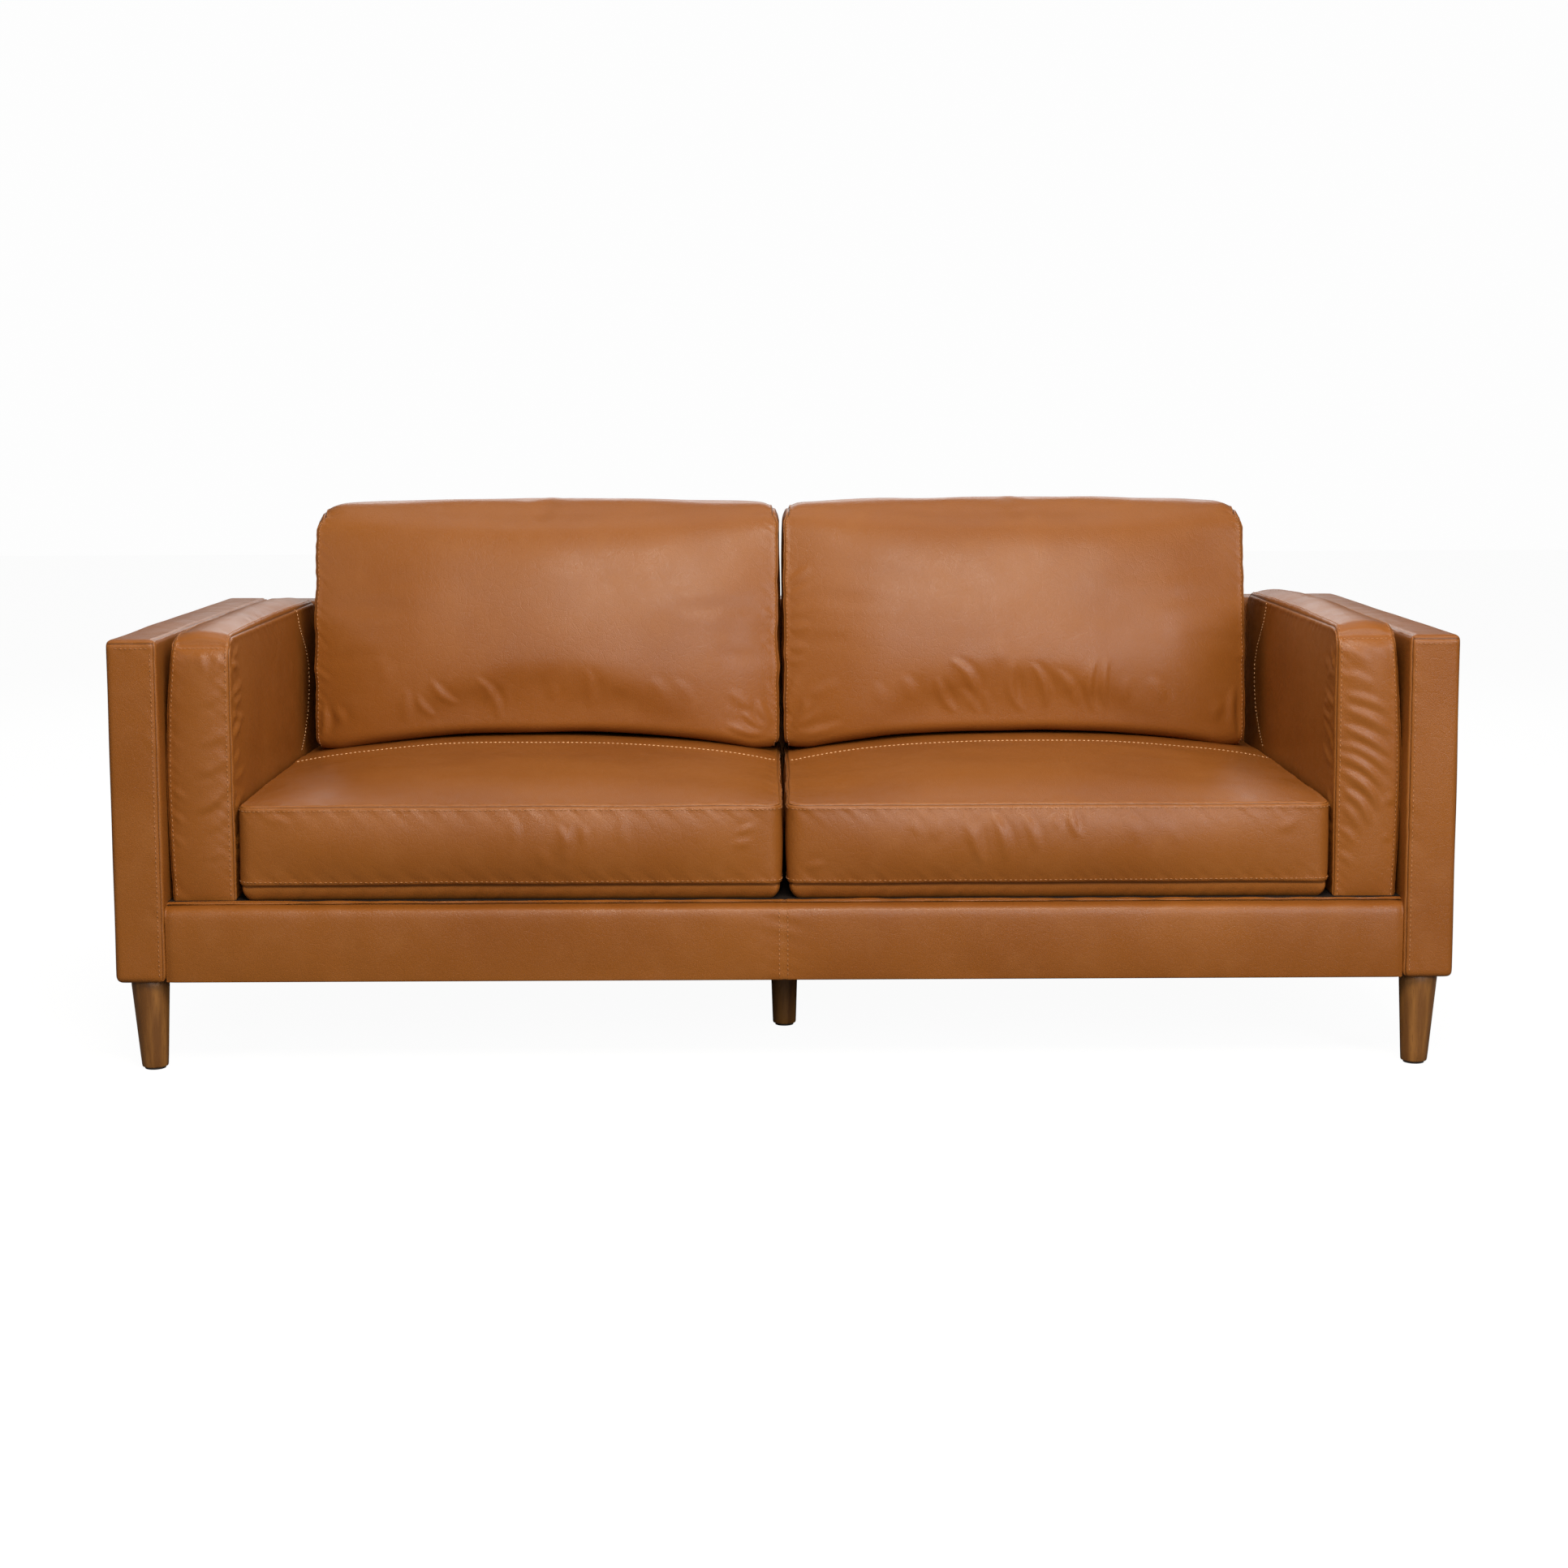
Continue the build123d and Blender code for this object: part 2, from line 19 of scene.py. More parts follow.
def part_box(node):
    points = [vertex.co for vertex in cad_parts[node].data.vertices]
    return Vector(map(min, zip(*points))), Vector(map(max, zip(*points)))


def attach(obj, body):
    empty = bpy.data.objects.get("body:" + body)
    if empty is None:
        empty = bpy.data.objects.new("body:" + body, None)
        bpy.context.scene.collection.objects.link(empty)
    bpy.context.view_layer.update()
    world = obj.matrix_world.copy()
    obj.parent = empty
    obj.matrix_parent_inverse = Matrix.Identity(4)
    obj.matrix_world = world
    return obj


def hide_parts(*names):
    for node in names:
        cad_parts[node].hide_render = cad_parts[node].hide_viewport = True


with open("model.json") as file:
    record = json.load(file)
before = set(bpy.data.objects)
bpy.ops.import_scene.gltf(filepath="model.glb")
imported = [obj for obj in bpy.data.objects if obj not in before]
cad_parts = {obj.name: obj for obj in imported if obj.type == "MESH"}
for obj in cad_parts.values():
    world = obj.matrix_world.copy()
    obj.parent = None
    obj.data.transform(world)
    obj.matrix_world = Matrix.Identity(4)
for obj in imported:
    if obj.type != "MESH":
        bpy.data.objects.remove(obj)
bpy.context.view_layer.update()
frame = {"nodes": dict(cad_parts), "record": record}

bl_info = {
    "name": "Leather sofa upholstery",
    "version": (1, 0, 0),
    "blender": (4, 5, 0),
    "location": "View3D > Sidebar > Sofa",
    "description": "Upholsters a timber sofa frame in leather, with loose cushions, seams and stitching",
    "category": "Object",
}

SIDES = (("left", -1), ("right", 1))
RINGS = (0.0, 0.003, 0.007, 0.013)  # narrow rows of faces beside every edge of a leather panel
X, Y, Z = 0, 1, 2
SETTLED_CROWN = 0.044  # rise of a seat cushion once its leather has settled
SEAT_TOP = 0.411  # height of the seam round a seat cushion's top panel
TOP_SEAM_Y = 0.030  # where the seam crosses a seat cushion's top panel
TOP_STITCH_SETBACK = 0.0040
SEAT_CROWN_REACH = 0.417  # from a seat cushion's side in to its full rise
SEAT_BOTTOM = 0.2875  # height of the seam round its bottom panel
BACK_BOXES = {  # the corners that the back cushions are cut to
    "left": ((-0.815, 0.150, 0.4240), (-0.006, 0.338, 0.8480)),
    "right": ((0.002, 0.150, 0.4240), (0.808, 0.338, 0.8480)),
}
PAD_FRONT, PAD_BOTTOM, PAD_TOP = -0.405, 0.2620, 0.674
PAD_TOP_STEP = 0.004  # the right pad stands this much above PAD_TOP, and the left one below
RAIL_DIP = 0.0035  # how far a cushion sinks where it passes over the front rail's rounded edge
RAIL_DIP_START, RAIL_DIP_LENGTH = -0.37, 0.05
DECK = 0.2650  # height of the surface that the cushions rest on
ON = 1e-5  # a point this near a face of its flat pattern lies on that face
NEAR = 1e-4  # the same once the leather is subdivided
AWAY = 1.0  # stands for no seam near a point


# ------------------------------------------------------------------ settings


class LeatherSettings(bpy.types.PropertyGroup):
    """The leather's colours, gloss and grain."""

    tan: FloatVectorProperty(
        name="Tan", description="Main colour of the hide", subtype="COLOR", size=3, min=0, max=1,
        default=(0.290, 0.0940, 0.0142),
    )
    shade: FloatVectorProperty(
        name="Shade", description="Deeper colour where the hide took more dye", subtype="COLOR", size=3,
        min=0, max=1, default=(0.215, 0.0610, 0.0079),
    )
    # Paler colour, for random pale patches and for the painted highlight in a band beside every seam.
    pale_and_seam_highlight: FloatVectorProperty(
        name="Pale and seam highlight", description="Paler colour along folds and seams", subtype="COLOR", size=3, min=0, max=1,
        default=(0.40, 0.155, 0.035),
    )
    thread: FloatVectorProperty(
        name="Thread", description="Colour of the stitching", subtype="COLOR", size=3, min=0, max=1,
        default=(0.44, 0.17, 0.045),
    )
    contrast: FloatVectorProperty(
        name="Contrast thread", description="Colour of the stitching that shows", subtype="COLOR", size=3,
        min=0, max=1, default=(0.82, 0.46, 0.22),
    )
    roughness: FloatProperty(
        name="Roughness", description="Roughness of the finished hide", default=0.37, min=0, max=1
    )
    grain: FloatProperty(
        name="Grain", description="Width of one pebble of the grain", default=0.0022, unit="LENGTH"
    )


class CushionSettings(bpy.types.PropertyGroup):
    """How the six loose cushions are cut and filled."""

    pitch: FloatProperty(
        name="Pitch", description="Width of one face of the leather mesh", default=0.009, unit="LENGTH"
    )
    seat_crown: FloatProperty(
        name="Seat crown", description="Rise of a seat cushion's top panel", default=0.036, unit="LENGTH"
    )
    seat_drop: FloatProperty(
        name="Seat drop", description="Fall of a seat cushion's bottom panel", default=0.0265, unit="LENGTH"
    )
    back_bulge: FloatProperty(
        name="Back bulge", description="Bulge of a back cushion's front panel", default=0.056, unit="LENGTH"
    )
    pressure: FloatProperty(name="Pressure", description="Push of the filling on the leather", default=4.0)
    spare_leather: FloatProperty(
        name="Spare leather", description="How much wider than its filling the loosest leather is",
        default=0.016,
    )
    settle_frames: IntProperty(
        name="Settle frames", description="Steps of cloth simulation", default=20, min=1
    )
    most_move: FloatProperty(
        name="Most move", description="Furthest that the leather may settle", default=0.022, unit="LENGTH"
    )


class StitchSettings(bpy.types.PropertyGroup):
    """The size of one stitch and its place beside a seam."""

    length: FloatProperty(name="Length", description="Length of a stitch", default=0.0055, unit="LENGTH")
    gap: FloatProperty(name="Gap", description="Space between stitches", default=0.0022, unit="LENGTH")
    thickness: FloatProperty(
        name="Thickness", description="Thickness of the thread", default=0.0013, unit="LENGTH"
    )
    setback: FloatProperty(
        name="Setback", description="Distance from a seam to its row of topstitching",
        default=0.0065, unit="LENGTH",
    )


class StageSettings(bpy.types.PropertyGroup):
    """The camera, the lights and the floor."""

    camera_place: FloatVectorProperty(
        name="Camera place", description="Where the camera stands", size=3, subtype="TRANSLATION",
        default=(-0.0182, -4.271, 1.0094),
    )
    pitch_down: FloatProperty(
        name="Pitch", description="How far the camera looks down", subtype="ANGLE",
        default=math.radians(6.243),
    )
    yaw: FloatProperty(
        name="Yaw", description="Turn of the camera to the right", subtype="ANGLE",
        default=math.radians(0.271),
    )
    roll: FloatProperty(name="Roll", description="Tilt of the camera", subtype="ANGLE", default=0.0036)
    lens: FloatProperty(name="Lens", description="Focal length in millimetres", default=58.465)
    shift: FloatProperty(name="Shift", description="Rise of the lens", default=-0.060)


# ------------------------------------------------------------------ meshes


def link(name, mesh):
    """A new object in the scene."""
    obj = bpy.data.objects.new(name, mesh)
    bpy.context.scene.collection.objects.link(obj)
    return obj


def ring_place(index, count, length):
    """Where a lattice line falls: narrow rings at both ends and even spaces between them."""
    last = len(RINGS) - 1
    from_end = min(index, count - index)
    if from_end <= last:
        return RINGS[from_end] if index == from_end else length - RINGS[from_end]
    return RINGS[last] + (index - last) / (count - 2 * last) * (length - 2 * RINGS[last])


def panelled_box(name, low, high, pitch):
    """A closed box of near-square faces that remembers its flat cutting pattern in the attribute flat."""
    lengths = [high[axis] - low[axis] for axis in range(3)]
    last = len(RINGS) - 1
    counts = [max(round((length - 2 * RINGS[last]) / pitch), 2) + 2 * last for length in lengths]
    bm = bmesh.new()
    bmesh.ops.create_cube(bm, size=1)
    bmesh.ops.translate(bm, verts=bm.verts, vec=(0.5, 0.5, 0.5))
    bmesh.ops.scale(bm, verts=bm.verts, vec=counts)
    for axis in range(3):
        along = [edge for edge in bm.edges if abs((edge.verts[1].co - edge.verts[0].co)[axis]) > 0.5]
        bmesh.ops.subdivide_edges(bm, edges=along, cuts=counts[axis] - 1, use_grid_fill=True)
    flat = bm.verts.layers.float_vector.new("flat")
    for vert in bm.verts:
        place = [
            low[axis] + ring_place(round(vert.co[axis]), counts[axis], lengths[axis]) for axis in range(3)
        ]
        vert.co = place
        vert[flat] = place
    bmesh.ops.recalc_face_normals(bm, faces=bm.faces)
    mesh = bpy.data.meshes.new(name)
    bm.to_mesh(mesh)
    bm.free()
    mesh.shade_smooth()
    return link(name, mesh)


def read(mesh, attribute=None):
    """The places of a mesh's points, or a vector attribute of them, as an array."""
    out = np.zeros(len(mesh.vertices) * 3)
    if attribute:
        mesh.attributes[attribute].data.foreach_get("vector", out)
    else:
        mesh.vertices.foreach_get("co", out)
    return out.reshape(-1, 3)


def write(mesh, places):
    """Puts a mesh's points at the places given."""
    mesh.vertices.foreach_set("co", np.ascontiguousarray(places, dtype=np.float32).ravel())
    mesh.update()


def normals(mesh):
    """The normals of a mesh's points as an array."""
    out = np.zeros(len(mesh.vertices) * 3)
    mesh.vertex_normals.foreach_get("vector", out)
    return out.reshape(-1, 3)


def note(mesh, name, values):
    """Keeps one number for each point, for materials to read."""
    layer = mesh.attributes.get(name) or mesh.attributes.new(name, "FLOAT", "POINT")
    layer.data.foreach_set("value", np.ascontiguousarray(values, dtype=np.float32))


def bake_modifiers(obj):
    """Replaces an object's mesh with what its modifiers make of it."""
    seen = bpy.context.evaluated_depsgraph_get()
    shown = obj.evaluated_get(seen)
    made = bpy.data.meshes.new_from_object(shown, preserve_all_data_layers=True, depsgraph=seen)
    old = obj.data
    obj.modifiers.clear()
    obj.data = made
    bpy.data.meshes.remove(old)
    made.name = obj.name


def raise_leather(cover, lift):
    """Moves each point of a cover along its normal."""
    write(cover.data, read(cover.data) + normals(cover.data) * lift[:, None])


def subdivide(obj):
    """One level of Catmull-Clark subdivision, applied."""
    modifier = obj.modifiers.new("Smooth", "SUBSURF")
    modifier.levels = modifier.render_levels = 1
    bake_modifiers(obj)


# ------------------------------------------------------------------ shaping


def ease(distance, reach, power=3.0):
    """Rises from 0 at an edge to 1 at reach, steeply first."""
    return 1 - (1 - np.clip(distance / reach, 0, 1)) ** power


def bell(distance, width):
    """A smooth hump of height 1."""
    return np.exp(-((distance / width) ** 2))


def ripple(along, seed, longest, shortest, parts=5):
    """A smooth uneven wave along a line, between about -1 and 1."""
    rng = random.Random(seed)
    total = np.zeros_like(along)
    for _ in range(parts):
        length = math.exp(rng.uniform(math.log(shortest), math.log(longest)))
        total += rng.uniform(0.5, 1) * np.sin(along * 2 * math.pi / length + rng.uniform(0, 2 * math.pi))
    return total / (0.75 * parts**0.5 * 1.6)


def swell(places, seed, size):
    """Smooth uneven hills over a surface, between about -1 and 1."""
    rng = random.Random(seed)
    total = np.zeros(len(places))
    for _ in range(7):
        way = Vector([rng.gauss(0, 1) for _ in range(3)]).normalized()
        wave = size * rng.uniform(0.7, 1.6)
        total += np.sin(places @ np.array(way) * 2 * math.pi / wave + rng.uniform(0, 6.3))
    return total / 3


def round_corners(first, second, low, high, radius):
    """Rounds the corners of a rectangle in one plane, and all inside it, as a disk fills a square."""
    half = ((high[0] - low[0]) / 2, (high[1] - low[1]) / 2)
    middle = ((high[0] + low[0]) / 2, (high[1] + low[1]) / 2)
    a, b = first - middle[0], second - middle[1]
    over_a = np.clip((np.abs(a) - (half[0] - radius)) / radius, 0, None)
    over_b = np.clip((np.abs(b) - (half[1] - radius)) / radius, 0, None)
    inside = (over_a > 0) & (over_b > 0)
    new_a = over_a * np.sqrt(np.clip(1 - over_b**2 / 2, 0, 1))
    new_b = over_b * np.sqrt(np.clip(1 - over_a**2 / 2, 0, 1))
    a = np.where(inside, np.sign(a) * (half[0] - radius + radius * new_a), a)
    b = np.where(inside, np.sign(b) * (half[1] - radius + radius * new_b), b)
    return a + middle[0], b + middle[1]


def sides_of(low, high):
    """A piece's distances from the middle of the sofa, to its nearer and its farther side."""
    return min(abs(low[X]), abs(high[X])), max(abs(low[X]), abs(high[X]))


def edge_gaps(flat, low, high):
    """For each point of a flat pattern, its distance to the nearer end along each axis."""
    return np.minimum(flat - np.array(low), np.array(high) - flat)


def seam_gap(flat, low, high, panel_axis):
    """Distance over the leather to the seam round the nearer of a cushion's two panels."""
    gaps = edge_gaps(flat, low, high)
    others = [axis for axis in range(3) if axis != panel_axis]
    on_panel = gaps[:, panel_axis] < ON
    return np.where(on_panel, np.minimum(gaps[:, others[0]], gaps[:, others[1]]), gaps[:, panel_axis])


def fold_height(flat_a, flat_b, folds):
    """Height of a set of leather folds, each (start, end, bow, width, height), in a panel's own two axes."""
    total = np.zeros_like(flat_a)
    steps = 9
    for start, end, bow, width, height in folds:
        run = (end[0] - start[0], end[1] - start[1])
        nearest = np.full_like(flat_a, 1e9)
        signed = np.zeros_like(flat_a)
        part = np.zeros_like(flat_a)
        points = []
        for i in range(steps):
            t = i / (steps - 1)
            lean = bow * 4 * t * (1 - t)
            points.append((start[0] + run[0] * t - run[1] * lean, start[1] + run[1] * t + run[0] * lean))
        for i in range(steps - 1):
            (ax, ay), (bx, by) = points[i], points[i + 1]
            dx, dy = bx - ax, by - ay
            long = dx * dx + dy * dy
            t = np.clip(((flat_a - ax) * dx + (flat_b - ay) * dy) / long, 0, 1)
            off_a, off_b = flat_a - ax - t * dx, flat_b - ay - t * dy
            gap = np.hypot(off_a, off_b)
            closer = gap < nearest
            nearest = np.where(closer, gap, nearest)
            side = (off_b * dx - off_a * dy) / math.sqrt(long)
            signed = np.where(closer, side, signed)
            part = np.where(closer, (i + t) / (steps - 1), part)
        taper = np.sin(np.pi * np.clip(part, 0, 1)) ** 0.7
        thin = width * (0.45 + 0.55 * taper)
        ridge = np.exp(-((nearest / thin) ** 2))
        valley = np.exp(-(((signed - 1.5 * thin) / thin) ** 2)) * np.exp(-((nearest / (2.5 * thin)) ** 2))
        total += height * taper * (ridge - 0.75 * valley)
    return total


# ------------------------------------------------------------------ cloth


def soften(mesh, values, rounds):
    """Blends each point's number with its neighbours', a few times over."""
    pairs = np.zeros(len(mesh.edges) * 2, dtype=np.int64)
    mesh.edges.foreach_get("vertices", pairs)
    first, second = pairs.reshape(-1, 2).T
    count = np.bincount(pairs, minlength=len(values))
    for _ in range(rounds):
        total = np.bincount(first, values[second], len(values))
        total = total + np.bincount(second, values[first], len(values))
        values = (values + total / count) / 2
    return values


def settle(covers, panel_axis, settings):
    """Lets leather covers swell over their filling, held along their seams, and keeps the result.

    Each cover comes with its pattern's corners, each point's spare leather, and how freely it moves.
    """
    before = {}
    for cover, (low, high, spare, free) in covers.items():
        flat = read(cover.data, "flat")
        held = np.flatnonzero(seam_gap(flat, low, high, panel_axis) < ON)
        group = cover.vertex_groups.new(name="seams")
        group.add([int(i) for i in held], 1.0, "REPLACE")
        loose = cover.vertex_groups.new(name="spare")
        steps = np.round(np.clip(soften(cover.data, spare, 8), 0, 1) * 12)
        for step in np.unique(steps):
            loose.add([int(i) for i in np.flatnonzero(steps == step)], float(step / 12), "REPLACE")
        before[cover] = read(cover.data)
        cloth = cover.modifiers.new("Settle", "CLOTH")
        leather = cloth.settings
        leather.quality = 5
        leather.mass = 0.9
        leather.tension_stiffness = leather.compression_stiffness = 25
        leather.shear_stiffness = 12
        leather.bending_stiffness = 6
        leather.vertex_group_mass = "seams"
        leather.vertex_group_shrink = "spare"
        leather.shrink_min = 0.0
        leather.shrink_max = -settings.spare_leather
        leather.use_pressure = True
        leather.uniform_pressure_force = settings.pressure
        leather.effector_weights.gravity = 0
        cloth.collision_settings.use_collision = False
        cloth.point_cache.frame_start = 1
        cloth.point_cache.frame_end = settings.settle_frames
    scene = bpy.context.scene
    for step in range(1, settings.settle_frames + 1):
        scene.frame_set(step)
    seen = bpy.context.evaluated_depsgraph_get()
    for cover, (low, high, spare, free) in covers.items():
        made = cover.evaluated_get(seen).to_mesh()
        after = read(made)
        cover.evaluated_get(seen).to_mesh_clear()
        move = after - before[cover]
        far = np.linalg.norm(move, axis=1, keepdims=True)
        cap = settings.most_move
        move *= cap * np.tanh(far / cap) / np.maximum(far, 1e-9)
        move *= soften(cover.data, free, 10)[:, None]
        cover.modifiers.clear()
        write(cover.data, before[cover] + move)
    scene.frame_set(1)


def sew(cover, low, high, panel_axis, seed, depth=0.0022):
    """Presses a seam round both panels of a cover, with puckers beside it, and notes where it runs."""
    flat = read(cover.data, "flat")
    gap = seam_gap(flat, low, high, panel_axis)
    out = normals(cover.data)
    along = flat @ np.array((1.0, 0.83, 1.13))
    pucker = ripple(along, seed, 0.05, 0.016) * 0.0007 * bell(gap, 0.022) * (1 - bell(gap, 0.004))
    lift = -depth * bell(gap, 0.0018) + 0.0006 * bell(gap - 0.005, 0.003) + pucker
    hills = swell(flat, seed + 1, 0.16) * 0.0009
    write(cover.data, read(cover.data) + out * (lift + hills)[:, None])
    note(cover.data, "seam", gap)


class Surface:
    """A finished cover, read through its flat pattern: where a point of the pattern ended up."""

    def __init__(self, obj):
        mesh = obj.data
        mesh.calc_loop_triangles()
        self.corners = [tuple(t.vertices) for t in mesh.loop_triangles]
        self.flat = [Vector(p) for p in read(mesh, "flat")]
        self.real = [Vector(p) for p in read(mesh)]
        self.tree = BVHTree.FromPolygons(self.flat, self.corners)

    def at(self, flat):
        """The place and normal over a point of the flat pattern."""
        near, _, index, _ = self.tree.find_nearest(flat)
        a, b, c = self.corners[index]
        real = [self.real[i] for i in (a, b, c)]
        place = barycentric_transform(near, self.flat[a], self.flat[b], self.flat[c], *real)
        return place, (real[1] - real[0]).cross(real[2] - real[0]).normalized()


def stitch_rows(name, surface, rows, material, body, settings, bold=1.0):
    """Rows of separate stitches, each row a list of points on the flat pattern."""
    thick = settings.thickness * bold
    step = settings.length + settings.gap
    bm = bmesh.new()
    for row in rows:
        line = [Vector(p) for p in row]
        reach = [0.0]
        for a, b in zip(line, line[1:]):
            reach.append(reach[-1] + (b - a).length)
        for count in range(int(reach[-1] / step)):
            along = (count + 0.5) * step
            leg = max(i for i in range(len(line) - 1) if reach[i] <= along)
            way = (line[leg + 1] - line[leg]).normalized()
            middle = line[leg] + way * (along - reach[leg])
            place, up = surface.at(middle)
            ahead, _ = surface.at(middle + way * settings.length / 2)
            behind, _ = surface.at(middle - way * settings.length / 2)
            forward = ahead - behind
            if forward.length < settings.length / 4:
                continue
            forward.normalize()
            across = up.cross(forward).normalized()
            up = forward.cross(across)
            turn = Matrix((forward, across, up)).transposed().to_4x4()
            size = Matrix.Diagonal((settings.length / 2, thick * 0.62, thick * 0.5, 1))
            lift = Matrix.Translation(place + up * thick * 0.22)
            bmesh.ops.create_icosphere(bm, subdivisions=1, radius=1, matrix=lift @ turn @ size)
    mesh = bpy.data.meshes.new(name)
    bm.to_mesh(mesh)
    bm.free()
    mesh.shade_smooth()
    return dress(link(name, mesh), material, body)


def dress(obj, material, body):
    """Gives a piece its material and the body that it moves with."""
    obj.data.materials.clear()
    obj.data.materials.append(material)
    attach(obj, body)
    return obj


# ------------------------------------------------------------------ materials


def socket_group(name, inputs, outputs):
    """An empty shader node group with named inputs (name, kind, default) and outputs (name, kind)."""
    group = bpy.data.node_groups.get(name)
    if group:
        return group, None, None
    group = bpy.data.node_groups.new(name, "ShaderNodeTree")
    for title, kind, default in inputs:
        socket = group.interface.new_socket(name=title, in_out="INPUT", socket_type=kind)
        socket.default_value = default
    for title, kind in outputs:
        group.interface.new_socket(name=title, in_out="OUTPUT", socket_type=kind)
    return group, group.nodes.new("NodeGroupInput"), group.nodes.new("NodeGroupOutput")


def add_node(tree, kind, links=(), **values):
    """A node with its properties set, and links (input name or number, output socket) made to it."""
    node = tree.nodes.new(kind)
    for key, value in values.items():
        setattr(node, key, value)
    for key, source in links:
        if hasattr(source, "is_output"):
            tree.links.new(source, node.inputs[key])
        else:
            node.inputs[key].default_value = source
    return node


def arithmetic(tree, operation, first, second=0.0, clamp=False):
    """The result of one sum on two values or sockets."""
    node = add_node(tree, "ShaderNodeMath", ((0, first), (1, second)), operation=operation, use_clamp=clamp)
    return node.outputs[0]


def vector_sum(tree, operation, first, second):
    """The result of one sum on two vectors."""
    return add_node(tree, "ShaderNodeVectorMath", ((0, first), (1, second)), operation=operation).outputs[0]


def noise(tree, place, scale, detail):
    """A noise texture at the places given; its first output is a value and its second a colour."""
    return add_node(tree, "ShaderNodeTexNoise", (("Vector", place), ("Scale", scale), ("Detail", detail)))


def blend_colour(tree, factor, first, second):
    """A colour between two others."""
    node = add_node(tree, "ShaderNodeMix", ((0, factor), (6, first), (7, second)), data_type="RGBA")
    return node.outputs[2]


def span(tree, value, low, high, new_low=0.0, new_high=1.0):
    """A value carried from one range to another, held at both ends."""
    links = ((0, value), (1, low), (2, high), (3, new_low), (4, new_high))
    return add_node(tree, "ShaderNodeMapRange", links, clamp=True, interpolation_type="SMOOTHSTEP").outputs[0]


def hide_group():
    """Leather: mottled dye, a painted highlight in pale bands beside seams, painted shade in the seam
    grooves, and a bump of pebbles, pores and fine creases.
    """
    inputs = (
        ("Tan", "NodeSocketColor", (0.3, 0.1, 0.03, 1)),
        ("Shade", "NodeSocketColor", (0.2, 0.07, 0.02, 1)),
        ("Pale and seam highlight", "NodeSocketColor", (0.4, 0.17, 0.06, 1)),
        ("Roughness", "NodeSocketFloat", 0.4),
        ("Grain", "NodeSocketFloat", 0.0022),
        ("Seam", "NodeSocketFloat", 1.0),
    )
    outputs = (("Colour", "NodeSocketColor"), ("Roughness", "NodeSocketFloat"), ("Height", "NodeSocketFloat"))
    group, enter, leave = socket_group("Leather hide", inputs, outputs)
    if enter is None:
        return group
    place = add_node(group, "ShaderNodeTexCoord").outputs["Object"]
    dye = noise(group, place, 3.2, 5.0).outputs[0]
    cloud = noise(group, place, 24.0, 6.0).outputs[0]
    pore_scale = arithmetic(group, "DIVIDE", 1.0, enter.outputs["Grain"])
    warp = noise(group, place, 160.0, 2.0)
    bent = vector_sum(group, "MULTIPLY", warp.outputs[1], (0.0025, 0.0025, 0.0025))
    moved = vector_sum(group, "ADD", place, bent)
    pebble = add_node(
        group, "ShaderNodeTexVoronoi", (("Vector", moved), ("Scale", pore_scale)), feature="DISTANCE_TO_EDGE"
    ).outputs[0]
    pebble = span(group, pebble, 0.0, 0.28)
    crease = add_node(
        group, "ShaderNodeTexVoronoi", (("Vector", moved), ("Scale", 62.0)), feature="DISTANCE_TO_EDGE"
    ).outputs[0]
    crease = span(group, crease, 0.0, 0.10)
    deep = span(group, dye, 0.34, 0.72, 0.0, 0.55)
    colour = blend_colour(group, deep, enter.outputs["Tan"], enter.outputs["Shade"])
    pale = span(group, cloud, 0.5, 0.8, 0.0, 0.12)
    # Painted highlight: a pale band beside every seam, blended towards the paler colour.
    beside = span(group, enter.outputs["Seam"], 0.002, 0.008, 0.14, 0.0)
    pale = arithmetic(group, "MAXIMUM", pale, beside)
    colour = blend_colour(group, pale, colour, enter.outputs["Pale and seam highlight"])
    grain_edge_and_seam_shade = span(group, pebble, 0.0, 0.6, 0.10, 0.0)
    # Painted shade in the seam grooves: the colour there is blended most of the way to near-black.
    seam_groove_shade = span(group, enter.outputs["Seam"], 0.0004, 0.0019, 0.62, 0.0)
    grain_edge_and_seam_shade = arithmetic(group, "MAXIMUM", grain_edge_and_seam_shade, seam_groove_shade)
    # Blends towards near-black, for the darker pebble edges and the painted shade in the seam grooves.
    colour = blend_colour(group, grain_edge_and_seam_shade, colour, (0.045, 0.014, 0.004, 1))
    gloss = span(group, cloud, 0.3, 0.7, -0.05, 0.06)
    rough = arithmetic(group, "ADD", enter.outputs["Roughness"], gloss, clamp=True)
    fine = noise(group, place, 900.0, 2.0).outputs[0]
    height = arithmetic(group, "MULTIPLY", pebble, 0.5)
    for relief, share in ((crease, 0.35), (fine, 0.22), (cloud, 0.9)):
        height = arithmetic(group, "ADD", height, arithmetic(group, "MULTIPLY", relief, share))
    group.links.new(colour, leave.inputs["Colour"])
    group.links.new(rough, leave.inputs["Roughness"])
    group.links.new(height, leave.inputs["Height"])
    return group


